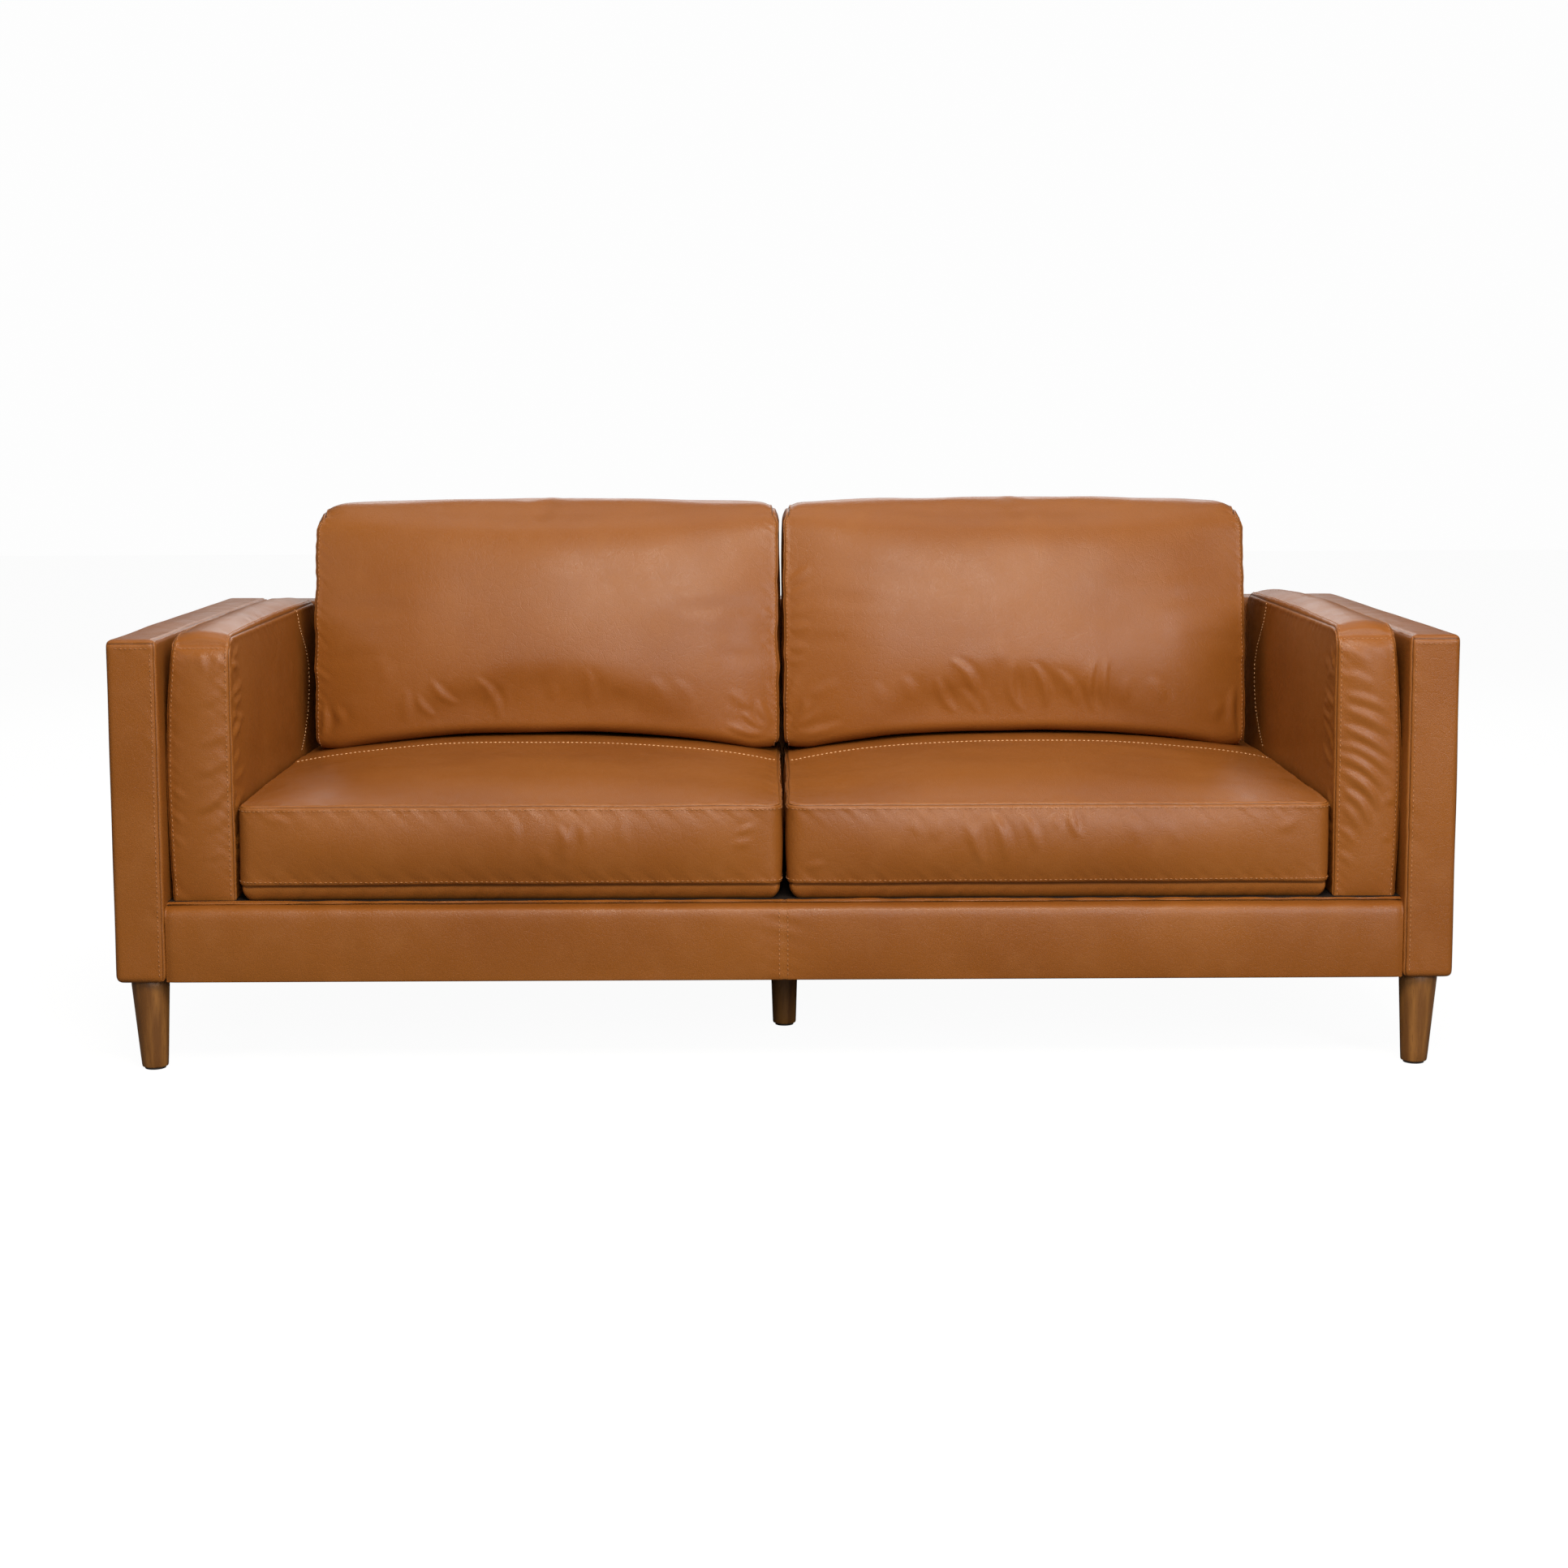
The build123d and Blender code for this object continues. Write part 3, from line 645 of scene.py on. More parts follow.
def timber_group():
    """Wood: long uneven grain along one axis, fine pores, and a bump that follows them."""
    inputs = (
        ("Light", "NodeSocketColor", (0.4, 0.25, 0.12, 1)),
        ("Dark", "NodeSocketColor", (0.2, 0.1, 0.05, 1)),
        ("Stretch", "NodeSocketVector", (1.0, 1.0, 0.08)),
        ("Rings", "NodeSocketFloat", 55.0),
    )
    outputs = (("Colour", "NodeSocketColor"), ("Pores", "NodeSocketFloat"), ("Height", "NodeSocketFloat"))
    group, enter, leave = socket_group("Timber grain", inputs, outputs)
    if enter is None:
        return group
    place = add_node(group, "ShaderNodeTexCoord").outputs["Object"]
    long = vector_sum(group, "MULTIPLY", place, enter.outputs["Stretch"])
    sway = noise(group, long, 14.0, 3.0)
    shift = vector_sum(group, "MULTIPLY", sway.outputs[1], (0.03, 0.03, 0.03))
    swayed = vector_sum(group, "ADD", long, shift)
    rings = noise(group, swayed, enter.outputs["Rings"], 6.0).outputs[0]
    pores = noise(group, long, 620.0, 2.0).outputs[0]
    pores = span(group, pores, 0.56, 0.70)
    tone = span(group, rings, 0.34, 0.66)
    colour = blend_colour(group, tone, enter.outputs["Light"], enter.outputs["Dark"])
    colour = blend_colour(group, arithmetic(group, "MULTIPLY", pores, 0.55), colour, enter.outputs["Dark"])
    height = arithmetic(group, "SUBTRACT", arithmetic(group, "MULTIPLY", tone, 0.4), pores)
    group.links.new(colour, leave.inputs["Colour"])
    group.links.new(pores, leave.inputs["Pores"])
    group.links.new(height, leave.inputs["Height"])
    return group


def weave_group():
    """Plain woven cloth: threads over and under each other, with uneven yarn."""
    inputs = (
        ("Yarn", "NodeSocketColor", (0.2, 0.2, 0.2, 1)),
        ("Shadow", "NodeSocketColor", (0.05, 0.05, 0.05, 1)),
        ("Threads", "NodeSocketFloat", 700.0),
    )
    outputs = (("Colour", "NodeSocketColor"), ("Height", "NodeSocketFloat"))
    group, enter, leave = socket_group("Plain weave", inputs, outputs)
    if enter is None:
        return group
    place = add_node(group, "ShaderNodeTexCoord").outputs["Object"]
    size = enter.outputs["Threads"]
    bands = []
    for direction in ("X", "Y", "Z"):
        wave = add_node(
            group, "ShaderNodeTexWave", (("Vector", place), ("Scale", size), ("Distortion", 0.4)),
            wave_type="BANDS", bands_direction=direction,
        )
        bands.append(wave.outputs[1])
    over = arithmetic(group, "MULTIPLY", bands[0], bands[1])
    over = arithmetic(group, "MAXIMUM", over, arithmetic(group, "MULTIPLY", bands[0], bands[2]))
    over = arithmetic(group, "MAXIMUM", over, arithmetic(group, "MULTIPLY", bands[1], bands[2]))
    slub = noise(group, place, 90.0, 4.0).outputs[0]
    tone = arithmetic(group, "MULTIPLY", over, span(group, slub, 0.3, 0.7, 0.7, 1.0))
    colour = blend_colour(group, tone, enter.outputs["Shadow"], enter.outputs["Yarn"])
    group.links.new(colour, leave.inputs["Colour"])
    group.links.new(over, leave.inputs["Height"])
    return group


def speckle_group():
    """Small uneven changes of colour and roughness, for foam, felt and metal."""
    inputs = (
        ("Colour", "NodeSocketColor", (0.5, 0.5, 0.5, 1)),
        ("Spots", "NodeSocketColor", (0.4, 0.4, 0.4, 1)),
        ("Size", "NodeSocketFloat", 300.0),
        ("Roughness", "NodeSocketFloat", 0.5),
    )
    outputs = (("Colour", "NodeSocketColor"), ("Roughness", "NodeSocketFloat"), ("Height", "NodeSocketFloat"))
    group, enter, leave = socket_group("Speckle", inputs, outputs)
    if enter is None:
        return group
    place = add_node(group, "ShaderNodeTexCoord").outputs["Object"]
    spots = noise(group, place, enter.outputs["Size"], 4.0).outputs[0]
    mask = span(group, spots, 0.42, 0.66)
    uneven = span(group, spots, 0.3, 0.7, -0.08, 0.1)
    rough = arithmetic(group, "ADD", enter.outputs["Roughness"], uneven, clamp=True)
    colour = blend_colour(group, mask, enter.outputs["Colour"], enter.outputs["Spots"])
    group.links.new(colour, leave.inputs["Colour"])
    group.links.new(rough, leave.inputs["Roughness"])
    group.links.new(spots, leave.inputs["Height"])
    return group


def new_material(name, group, values, sockets, bump=None, attribute=None):
    """A Principled material fed by one effect group; sockets are set straight on the shader."""
    material = bpy.data.materials.get(name)
    if material:
        return material
    material = bpy.data.materials.new(name)
    material.use_nodes = True
    tree = material.node_tree
    shader = tree.nodes["Principled BSDF"]
    for key, value in sockets.items():
        shader.inputs[key].default_value = value
    effect = tree.nodes.new("ShaderNodeGroup")
    effect.node_tree = group
    for key, value in values.items():
        effect.inputs[key].default_value = value
    if attribute:
        noted = add_node(tree, "ShaderNodeAttribute", attribute_name=attribute)
        tree.links.new(noted.outputs["Fac"], effect.inputs["Seam"])
    tree.links.new(effect.outputs["Colour"], shader.inputs["Base Color"])
    if "Roughness" in effect.outputs:
        tree.links.new(effect.outputs["Roughness"], shader.inputs["Roughness"])
    if bump:
        relief = add_node(tree, "ShaderNodeBump", (("Height", effect.outputs["Height"]), ("Distance", bump)))
        tree.links.new(relief.outputs[0], shader.inputs["Normal"])
    return material


def leather_material(seamed=True):
    """The tan hide; the plain kind is for pieces that carry no seam attribute."""
    hide = bpy.context.scene.sofa_leather
    values = {
        "Tan": (*hide.tan, 1), "Shade": (*hide.shade, 1), "Pale and seam highlight": (*hide.pale_and_seam_highlight, 1),
        "Roughness": hide.roughness, "Grain": hide.grain, "Seam": 1.0,
    }
    sockets = {"Specular IOR Level": 0.31, "Coat Weight": 0.055, "Coat Roughness": 0.22}
    name = "Tan leather" if seamed else "Tan leather, plain"
    attribute = "seam" if seamed else None
    return new_material(name, hide_group(), values, sockets, bump=0.00022, attribute=attribute)


def thread_material(contrast=False):
    """Waxed sewing thread near the hide's colour, or the paler kind that shows against it."""
    hide = bpy.context.scene.sofa_leather
    thread = hide.contrast if contrast else hide.thread
    spots = [0.7 * part for part in thread]
    values = {"Colour": (*thread, 1), "Spots": (*spots, 1), "Size": 900.0, "Roughness": 0.55}
    name = "Contrast thread" if contrast else "Waxed thread"
    return new_material(name, speckle_group(), values, {"Sheen Weight": 0.1}, bump=0.0001)


def plain_materials():
    """The finishes of the frame's own pieces, by the record's material slot."""
    timber, weave, speckle = timber_group(), weave_group(), speckle_group()
    made = {}
    made["leg_wood"] = new_material(
        "Walnut-stained leg", timber,
        {"Light": (0.30, 0.125, 0.028, 1), "Dark": (0.165, 0.062, 0.013, 1),
         "Stretch": (1.0, 1.0, 0.09), "Rings": 60.0},
        {"Roughness": 0.38, "Coat Weight": 0.25, "Coat Roughness": 0.2}, bump=0.0002,
    )
    made["frame_timber"] = new_material(
        "Sawn softwood", timber,
        {"Light": (0.62, 0.44, 0.25, 1), "Dark": (0.42, 0.25, 0.12, 1),
         "Stretch": (0.1, 0.6, 0.6), "Rings": 40.0},
        {"Roughness": 0.75}, bump=0.0004,
    )
    made["foam"] = new_material(
        "Upholstery foam", speckle,
        {"Colour": (0.80, 0.74, 0.55, 1), "Spots": (0.66, 0.58, 0.40, 1), "Size": 420.0,
         "Roughness": 0.9}, {}, bump=0.0006,
    )
    for slot, name, yarn, shadow, threads in (
        ("webbing", "Elastic webbing", (0.10, 0.09, 0.08), (0.02, 0.02, 0.02), 260.0),
        # The deck cloth's brown is darkened to near-black as painted shade, so the gaps between the cushions
        # and the rail read as shadow.
        ("deck_cloth", "Brown deck cloth darkened as painted shade", (0.030, 0.016, 0.008), (0.010, 0.005, 0.003), 420.0),
        ("dust_cloth", "Black dust cloth", (0.035, 0.035, 0.036), (0.008, 0.008, 0.008), 500.0),
        ("zip_tape", "Brown zip tape", (0.14, 0.07, 0.03), (0.035, 0.017, 0.008), 620.0),
    ):
        values = {"Yarn": (*yarn, 1), "Shadow": (*shadow, 1), "Threads": threads}
        sockets = {"Roughness": 0.85, "Specular IOR Level": 0.25}
        made[slot] = new_material(name, weave, values, sockets, bump=0.0003)
    for slot, name, colour, spots, size, roughness, metallic in (
        ("spring_wire", "Drawn spring wire", (0.30, 0.30, 0.31), (0.16, 0.15, 0.15), 180.0, 0.38, 1.0),
        ("steel", "Zinc-plated steel", (0.62, 0.62, 0.60), (0.48, 0.48, 0.47), 240.0, 0.34, 1.0),
        ("zip_metal", "Antique brass", (0.42, 0.29, 0.12), (0.20, 0.12, 0.05), 320.0, 0.36, 1.0),
        ("glide_felt", "Dark felt", (0.06, 0.05, 0.045), (0.02, 0.018, 0.016), 900.0, 0.95, 0.0),
    ):
        values = {"Colour": (*colour, 1), "Spots": (*spots, 1), "Size": size, "Roughness": roughness}
        made[slot] = new_material(name, speckle, values, {"Metallic": metallic}, bump=0.0002)
    return made


# ------------------------------------------------------------------ cushions


def cad_limits(node):
    """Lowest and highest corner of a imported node, as plain lists."""
    low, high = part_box(node)
    return list(low), list(high)


def loop_row(low, high, axis, level, setback_axes=(0.0, 0.0), steps=12):
    """A closed row round a box at one level of an axis."""
    a, b = [other for other in range(3) if other != axis]
    rows = []
    corners = [
        (low[a] + setback_axes[0], low[b] + setback_axes[1]),
        (high[a] - setback_axes[0], low[b] + setback_axes[1]),
        (high[a] - setback_axes[0], high[b] - setback_axes[1]),
        (low[a] + setback_axes[0], high[b] - setback_axes[1]),
    ]
    for start, end in zip(corners, corners[1:] + corners[:1]):
        points = []
        for i in range(steps + 1):
            point = [0.0, 0.0, 0.0]
            point[axis] = level
            point[a] = start[0] + (end[0] - start[0]) * i / steps
            point[b] = start[1] + (end[1] - start[1]) * i / steps
            points.append(point)
        rows.append(points)
    return rows


def seat_form(flat, low, high, settings):
    """A boxed seat cushion: crowned top, bowed sides between soft corners, flattened underside."""
    x, y, z = flat[:, X].copy(), flat[:, Y].copy(), flat[:, Z].copy()
    gaps = edge_gaps(flat, low, high)
    middle, half = (np.array(high) + low) / 2, (np.array(high) - low) / 2
    panel, lower = gaps[:, Z] < ON, z < middle[Z]
    front_gap, rear_gap = y - low[Y], high[Y] - y
    crown = ease(gaps[:, X], SEAT_CROWN_REACH, 3.0) * ease(front_gap, 0.40, 3.2) * ease(rear_gap, 0.22, 2.5)
    drop = ease(np.minimum(np.minimum(gaps[:, X], front_gap), rear_gap), 0.020, 2.2)
    lift = np.where(panel, np.where(lower, -settings.seat_drop * drop, settings.seat_crown * crown), 0)
    x, y = round_corners(x, y, (low[X], low[Y]), (high[X], high[Y]), 0.022)
    u, v = (x - middle[X]) / half[X], (y - middle[Y]) / half[Y]
    band = 1 - ((z - middle[Z]) / half[Z]) ** 2
    long_x, long_y = 1 - u**4, 1 - v**4
    pull_in = 0.004
    x = x + np.sign(u) * np.abs(u) ** 8 * (0.0045 * band * long_y - pull_in * (1 - v**2) * (1 - band))
    y = y + np.sign(v) * np.abs(v) ** 8 * (0.0110 * band * long_x - pull_in * (1 - u**2) * (1 - band))
    side_rise = 0.006 * np.abs(u) ** 6 * np.clip(1 - v**2, 0, 1) * (z > middle[Z])
    return np.stack((x, y, z + lift + side_rise), axis=1)


SEAT_FOLDS = {
    "left": (
        (-346, 384, -336, 321, 0.10, 8, 1.5), (-328, 382, -326, 346, 0.0, 7, 1.2),
        (-302, 380, -308, 352, 0.0, 6, 0.9), (-372, 350, -366, 312, 0.05, 9, 0.8),
        (-420, 392, -412, 352, 0.1, 9, 0.6), (-246, 394, -240, 350, -0.1, 10, 0.6),
        (-72, 364, -46, 380, 0.1, 6, 1.2), (-80, 350, -50, 358, 0.0, 7, 1.0),
        (-790, 392, -752, 384, 0.1, 7, 0.8),
    ),
    "right": (
        (299, 386, 305, 319, -0.12, 8, 2.2), (316, 398, 339, 321, 0.10, 9, 2.0),
        (364, 396, 387, 336, 0.08, 8, 1.6), (444, 408, 452, 360, -0.14, 7, 2.0),
        (412, 396, 419, 374, 0.0, 6, 0.9), (276, 390, 284, 346, 0.1, 8, 1.2),
        (236, 394, 226, 356, 0.1, 9, 0.8), (196, 392, 204, 366, 0.0, 8, 0.7),
        (522, 392, 540, 352, 0.1, 10, 0.7), (590, 388, 606, 350, -0.1, 10, 0.5),
        (36, 312, 62, 320, 0.1, 7, 1.0), (784, 386, 752, 372, 0.1, 9, 0.8),
    ),
}


def from_table(rows):
    """Folds from rows of start, end, bow, width and height, with lengths in millimetres."""
    return [((a / 1000, b / 1000), (c / 1000, d / 1000), bow, width / 1000, height / 1000)
            for a, b, c, d, bow, width, height in rows]


class SOFA_OT_seat_cushions(bpy.types.Operator):
    """Makes the two boxed seat cushions with their seams and stitching"""

    bl_idname = "sofa.seat_cushions"
    bl_label = "Seat cushions"

    def execute(self, context):
        cut, stitch = context.scene.sofa_cushions, context.scene.sofa_stitches
        covers = {}
        for side_name, side in SIDES:
            low, high = cad_limits(f"{side_name}_seat_cover")
            low[Z], high[Z] = SEAT_BOTTOM, SEAT_TOP
            cover = panelled_box(f"{side_name}_seat_cushion", low, high, cut.pitch)
            flat = read(cover.data, "flat")
            write(cover.data, seat_form(flat, low, high, cut))
            front, top, under = flat[:, Y] < low[Y] + ON, flat[:, Z] > high[Z] - ON, flat[:, Z] < low[Z] + ON
            middle = bell(flat[:, X] - (low[X] + high[X]) / 2, 0.20)
            looseness = (0.35 + 0.65 * middle) * (0.75 if side < 0 else 1.0)
            spare = np.where(front, looseness, np.where(top, 0.16, 0.1))
            free = np.where(front | top, 1.0, np.where(under, 0.0, 0.3))
            covers[cover] = (low, high, spare, free)
        settle(covers, Z, cut)
        for cover, (side_name, side) in zip(covers, SIDES):
            low, high = covers[cover][:2]
            subdivide(cover)
            flat = read(cover.data, "flat")
            inner, outer = sides_of(low, high)
            front = flat[:, Y] < low[Y] + NEAR
            folds = from_table(SEAT_FOLDS[side_name])
            lift = np.where(front, 1.5 * fold_height(flat[:, X], flat[:, Z], folds), 0)
            on_top = flat[:, Z] > high[Z] - NEAR
            cross = np.where(on_top, np.abs(flat[:, Y] - TOP_SEAM_Y), AWAY)
            lift += np.where(on_top, -0.0014 * bell(cross, 0.0028) + 0.0006 * bell(cross - 0.007, 0.004), 0)
            raise_leather(cover, lift)
            sew(cover, low, high, Z, seed=21 + side)
            rest_on_deck(cover)
            body = f"{side_name}_seat_cushion"
            dress(cover, leather_material(), body)
            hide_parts(f"{side_name}_seat_cover", f"{side_name}_seat_core")
            surface = Surface(cover)
            rows = loop_row(low, high, Z, high[Z] - stitch.setback)
            rows += loop_row(low, high, Z, low[Z] + stitch.setback)
            across = np.linspace(inner + 0.004, outer - 0.004, 40)
            stitch_rows(f"{side_name}_seat_stitches", surface, rows, thread_material(), body, stitch)
            rows = [[(side * a, TOP_SEAM_Y - TOP_STITCH_SETBACK, high[Z]) for a in across]]
            pale = thread_material(contrast=True)
            stitch_rows(f"{side_name}_seat_top_stitches", surface, rows, pale, body, stitch, 1.6)
        return {"FINISHED"}


def rest_on_deck(cover):
    """Flattens whatever of a cushion would sink below the deck, or below the front rail's rounded edge."""
    places = read(cover.data)
    floor = DECK - RAIL_DIP * np.clip((RAIL_DIP_START - places[:, Y]) / RAIL_DIP_LENGTH, 0, 1)
    places[:, Z] = np.maximum(places[:, Z], floor)
    write(cover.data, places)


def back_form(flat, low, high, side, settings):
    """A back cushion: a leaning pillow front that rolls over at top and bottom, and an upright rear."""
    x, y, z = flat[:, X].copy(), flat[:, Y].copy(), flat[:, Z].copy()
    gaps = edge_gaps(flat, low, high)
    middle, half = (low[X] + high[X]) / 2, (high[X] - low[X]) / 2
    upper, fore = z > (low[Z] + high[Z]) / 2, y < (low[Y] + high[Y]) / 2
    outline = np.where(upper, np.where(side * (x - middle) < 0, 0.032, 0.046), 0.018)
    x, z = round_corners(x, z, (low[X], low[Z]), (high[X], high[Z]), outline)
    profile = np.where(upper, 0.050, np.where(fore, 0.026, 0.035))
    y, z = round_corners(y, z, (low[Y], low[Z]), (high[Y], high[Z]), profile)
    tall = np.clip((z - low[Z]) / (high[Z] - low[Z]), 0, 1)
    ahead = np.clip((high[Y] - y) / (high[Y] - low[Y]), 0, 1)
    u = (x - middle) / half
    belly = 0.85 + 1.1 * tall - 1.8 * tall**2
    inward = ease(gaps[:, X], 0.17 + 0.13 * tall, 2.4)
    y = y + 0.060 * tall**2 * ahead - settings.back_bulge * belly * (0.16 + 0.84 * inward) * ahead**1.5
    y = y + 0.008 * np.sin(np.pi * tall) * inward * (1 - ahead) - 0.008 * (1 - ahead)
    seat = np.maximum(SEAT_TOP + SETTLED_CROWN * ease(gaps[:, X], SEAT_CROWN_REACH, 3.0), low[Z])
    z = z + (seat - low[Z]) * np.clip(1 - tall / 0.4, 0, 1) ** 1.5
    z = z + 0.007 * np.clip(tall - 0.6, 0, 1) / 0.4 * (1 - u**2)
    beside = bell(gaps[:, X], 0.014) * np.clip(2 * ahead - 1, 0, 1)
    beside = beside * np.sin(np.pi * np.clip(tall, 0, 1)) ** 0.5
    sway = ripple(flat[:, Z], 101 + side, 0.12, 0.035) * 0.0020
    x = x + np.sign(u) * (sway - 0.0015) * beside
    side_face = gaps[:, X] < ON
    x = x + np.where(side_face, np.sign(u) * 0.0030 * np.sin(np.pi * ahead) * np.sin(np.pi * tall), 0)
    x = x + side * 0.014 * np.clip(side * u, 0, 1) * (1 - ahead)
    return np.stack((x, y, z), axis=1)


BACK_FOLDS = {
    "left": (
        (-648, 532, -651, 462, 0.0, 10, 1.8), (-632, 522, -600, 470, -0.1, 8, 2.2),
        (-606, 548, -560, 494, -0.1, 9, 2.4), (-530, 550, -490, 460, 0.12, 9, 2.8),
        (-500, 536, -512, 490, 0.0, 8, 1.3), (-474, 520, -480, 476, 0.0, 9, 1.0),
        (-338, 566, -335, 482, 0.08, 10, 2.0), (-392, 536, -398, 498, 0.0, 9, 1.2),
        (-230, 548, -206, 508, 0.1, 12, 1.0), (-188, 545, -158, 500, 0.1, 12, 0.9),
        (-14, 466, -42, 512, 0.12, 8, 2.6), (-16, 462, -70, 490, 0.10, 8, 2.6),
        (-20, 456, -100, 464, 0.08, 9, 2.2), (-12, 480, -26, 540, -0.1, 8, 1.8),
        (-50, 500, -92, 528, 0.1, 10, 1.4), (-799, 506, -806, 442, 0.10, 8, 4.2),
        (-778, 500, -764, 470, 0.1, 9, 2.0), (-814, 560, -786, 548, 0.0, 7, 1.2),
        (-816, 604, -794, 596, 0.1, 6, 1.0), (-10, 610, -34, 618, 0.0, 6, 0.9),
        (-10, 655, -36, 668, 0.1, 6, 0.9), (-10, 706, -32, 716, 0.0, 6, 0.8),
        (-700, 590, -684, 540, 0.1, 14, 0.8),
    ),
    "right": (
        (268, 548, 298, 470, -0.08, 9, 3.4), (288, 582, 332, 490, 0.16, 10, 3.2),
        (308, 524, 338, 470, 0.0, 9, 2.2), (399, 572, 416, 470, -0.12, 9, 3.0),
        (430, 572, 456, 480, 0.10, 9, 3.6), (472, 560, 510, 484, 0.08, 10, 2.4),
        (541, 582, 540, 470, -0.10, 8, 3.4), (562, 586, 562, 480, -0.06, 7, 2.6),
        (378, 618, 372, 566, 0.0, 12, 1.4), (632, 546, 656, 496, 0.10, 12, 1.6),
        (205, 550, 222, 500, 0.10, 12, 1.4), (160, 540, 172, 496, 0.0, 12, 1.0),
        (350, 520, 356, 468, 0.0, 8, 1.8), (596, 548, 590, 490, 0.0, 9, 1.4),
        (14, 466, 40, 512, -0.12, 8, 2.8), (16, 462, 62, 496, -0.10, 8, 2.6),
        (20, 456, 104, 466, -0.08, 9, 2.2), (12, 486, 26, 550, 0.1, 8, 2.0),
        (789, 530, 792, 444, -0.10, 9, 4.4), (766, 506, 752, 470, -0.1, 10, 2.0),
        (12, 708, 50, 740, 0.05, 7, 1.6), (12, 682, 48, 708, 0.05, 7, 1.5),
        (12, 654, 42, 672, 0.05, 7, 1.4), (12, 630, 52, 642, 0.0, 8, 1.5),
        (12, 600, 46, 606, 0.0, 8, 1.3), (10, 572, 40, 584, 0.0, 7, 1.3),
        (816, 590, 790, 578, 0.0, 7, 1.3), (818, 630, 792, 622, 0.1, 7, 1.0),
        (48, 520, 92, 548, -0.1, 11, 1.6),
    ),
}


class SOFA_OT_back_cushions(bpy.types.Operator):
    """Makes the two back cushions with their side seams and creases"""

    bl_idname = "sofa.back_cushions"
    bl_label = "Back cushions"

    def execute(self, context):
        cut, stitch = context.scene.sofa_cushions, context.scene.sofa_stitches
        covers = {}
        for side_name, side in SIDES:
            low, high = BACK_BOXES[side_name]
            cover = panelled_box(f"{side_name}_back_cushion", low, high, cut.pitch)
            flat = read(cover.data, "flat")
            write(cover.data, back_form(flat, low, high, side, cut))
            front, rear = flat[:, Y] < low[Y] + ON, flat[:, Y] > high[Y] - ON
            top, under = flat[:, Z] > high[Z] - ON, flat[:, Z] < low[Z] + ON
            low_down = bell(flat[:, Z] - 0.53, 0.075) * bell(flat[:, X] - (low[X] + high[X]) / 2, 0.30)
            spare = np.where(front, 0.10 + (0.55 if side < 0 else 0.85) * low_down, np.where(top, 0.15, 0.1))
            rise = np.clip((flat[:, Z] - low[Z]) / 0.15, 0, 1)
            free = np.where(top, 0.8, np.where(rear | under, 0.05, 0.3))
            free = np.where(front, 0.08 + 0.92 * rise**1.2, free)
            covers[cover] = (low, high, spare, free)
        settle(covers, X, cut)
        for cover, (side_name, side) in zip(covers, SIDES):
            low, high = covers[cover][:2]
            subdivide(cover)
            flat = read(cover.data, "flat")
            front = flat[:, Y] < low[Y] + NEAR
            folds = from_table(BACK_FOLDS[side_name])
            lift = np.where(front, fold_height(flat[:, X], flat[:, Z], folds), 0)
            raise_leather(cover, lift)
            sew(cover, low, high, X, seed=41 + side, depth=0.0020)
            body = f"{side_name}_back_cushion"
            dress(cover, leather_material(), body)
            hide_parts(f"{side_name}_back_cover", f"{side_name}_back_core")
            surface = Surface(cover)
            rows = loop_row(low, high, X, low[X] + stitch.setback * 0.8)
            rows += loop_row(low, high, X, high[X] - stitch.setback * 0.8)
            stitch_rows(f"{side_name}_back_stitches", surface, rows, thread_material(), body, stitch)
        return {"FINISHED"}


def pad_form(flat, low, high, side):
    """An arm pad: a tall boxed cushion, thinner at the top, with a rolled top front corner."""
    x, y, z = flat[:, X].copy(), flat[:, Y].copy(), flat[:, Z].copy()
    gaps = edge_gaps(flat, low, high)
    up = (z - low[Z]) / (high[Z] - low[Z])
    inner = min(abs(low[X]), abs(high[X]))
    out = (np.abs(x) - inner) / (high[X] - low[X])
    depth = np.sin(np.pi * np.clip(out, 0, 1))
    bulge = ease(gaps[:, Y], 0.16, 2.5) * ease(gaps[:, Z], 0.14, 2.5)
    inner_face = out < NEAR
    top_face, front_face = gaps[:, Z] < ON, y < low[Y] + ON
    thin = 0.008 * np.clip((up - 0.45) / 0.55, 0, 1) ** 1.6
    new_x = np.abs(x) - thin * out
    new_x = np.where(inner_face, new_x - 0.0035 * bulge, new_x)
    new_x = new_x + 0.005 * out * np.sin(np.pi * np.clip(up, 0, 1)) * ease(gaps[:, Z], 0.14, 2.5)
    y, z = round_corners(y, z, (low[Y], low[Z] - 0.2), (high[Y], high[Z]), 0.034)
    along = (flat[:, Y] - low[Y]) / (high[Y] - low[Y])
    z = z + np.where(top_face & (up > 0.5), 0.014 * depth**0.8 * (0.6 + 0.4 * np.sin(np.pi * along)), 0)
    z = z + 0.010 * np.clip(up - 0.7, 0, 1) * np.sin(np.pi * np.clip(along, 0, 1)) * (out > 0.02)
    y = y - np.where(front_face, 0.009 * depth**0.8 * (1 - (2 * up - 1) ** 8), 0)
    y = y + np.where(along > 1 - NEAR, 0.004 * depth, 0)
    return np.stack((side * new_x, y, z), axis=1)


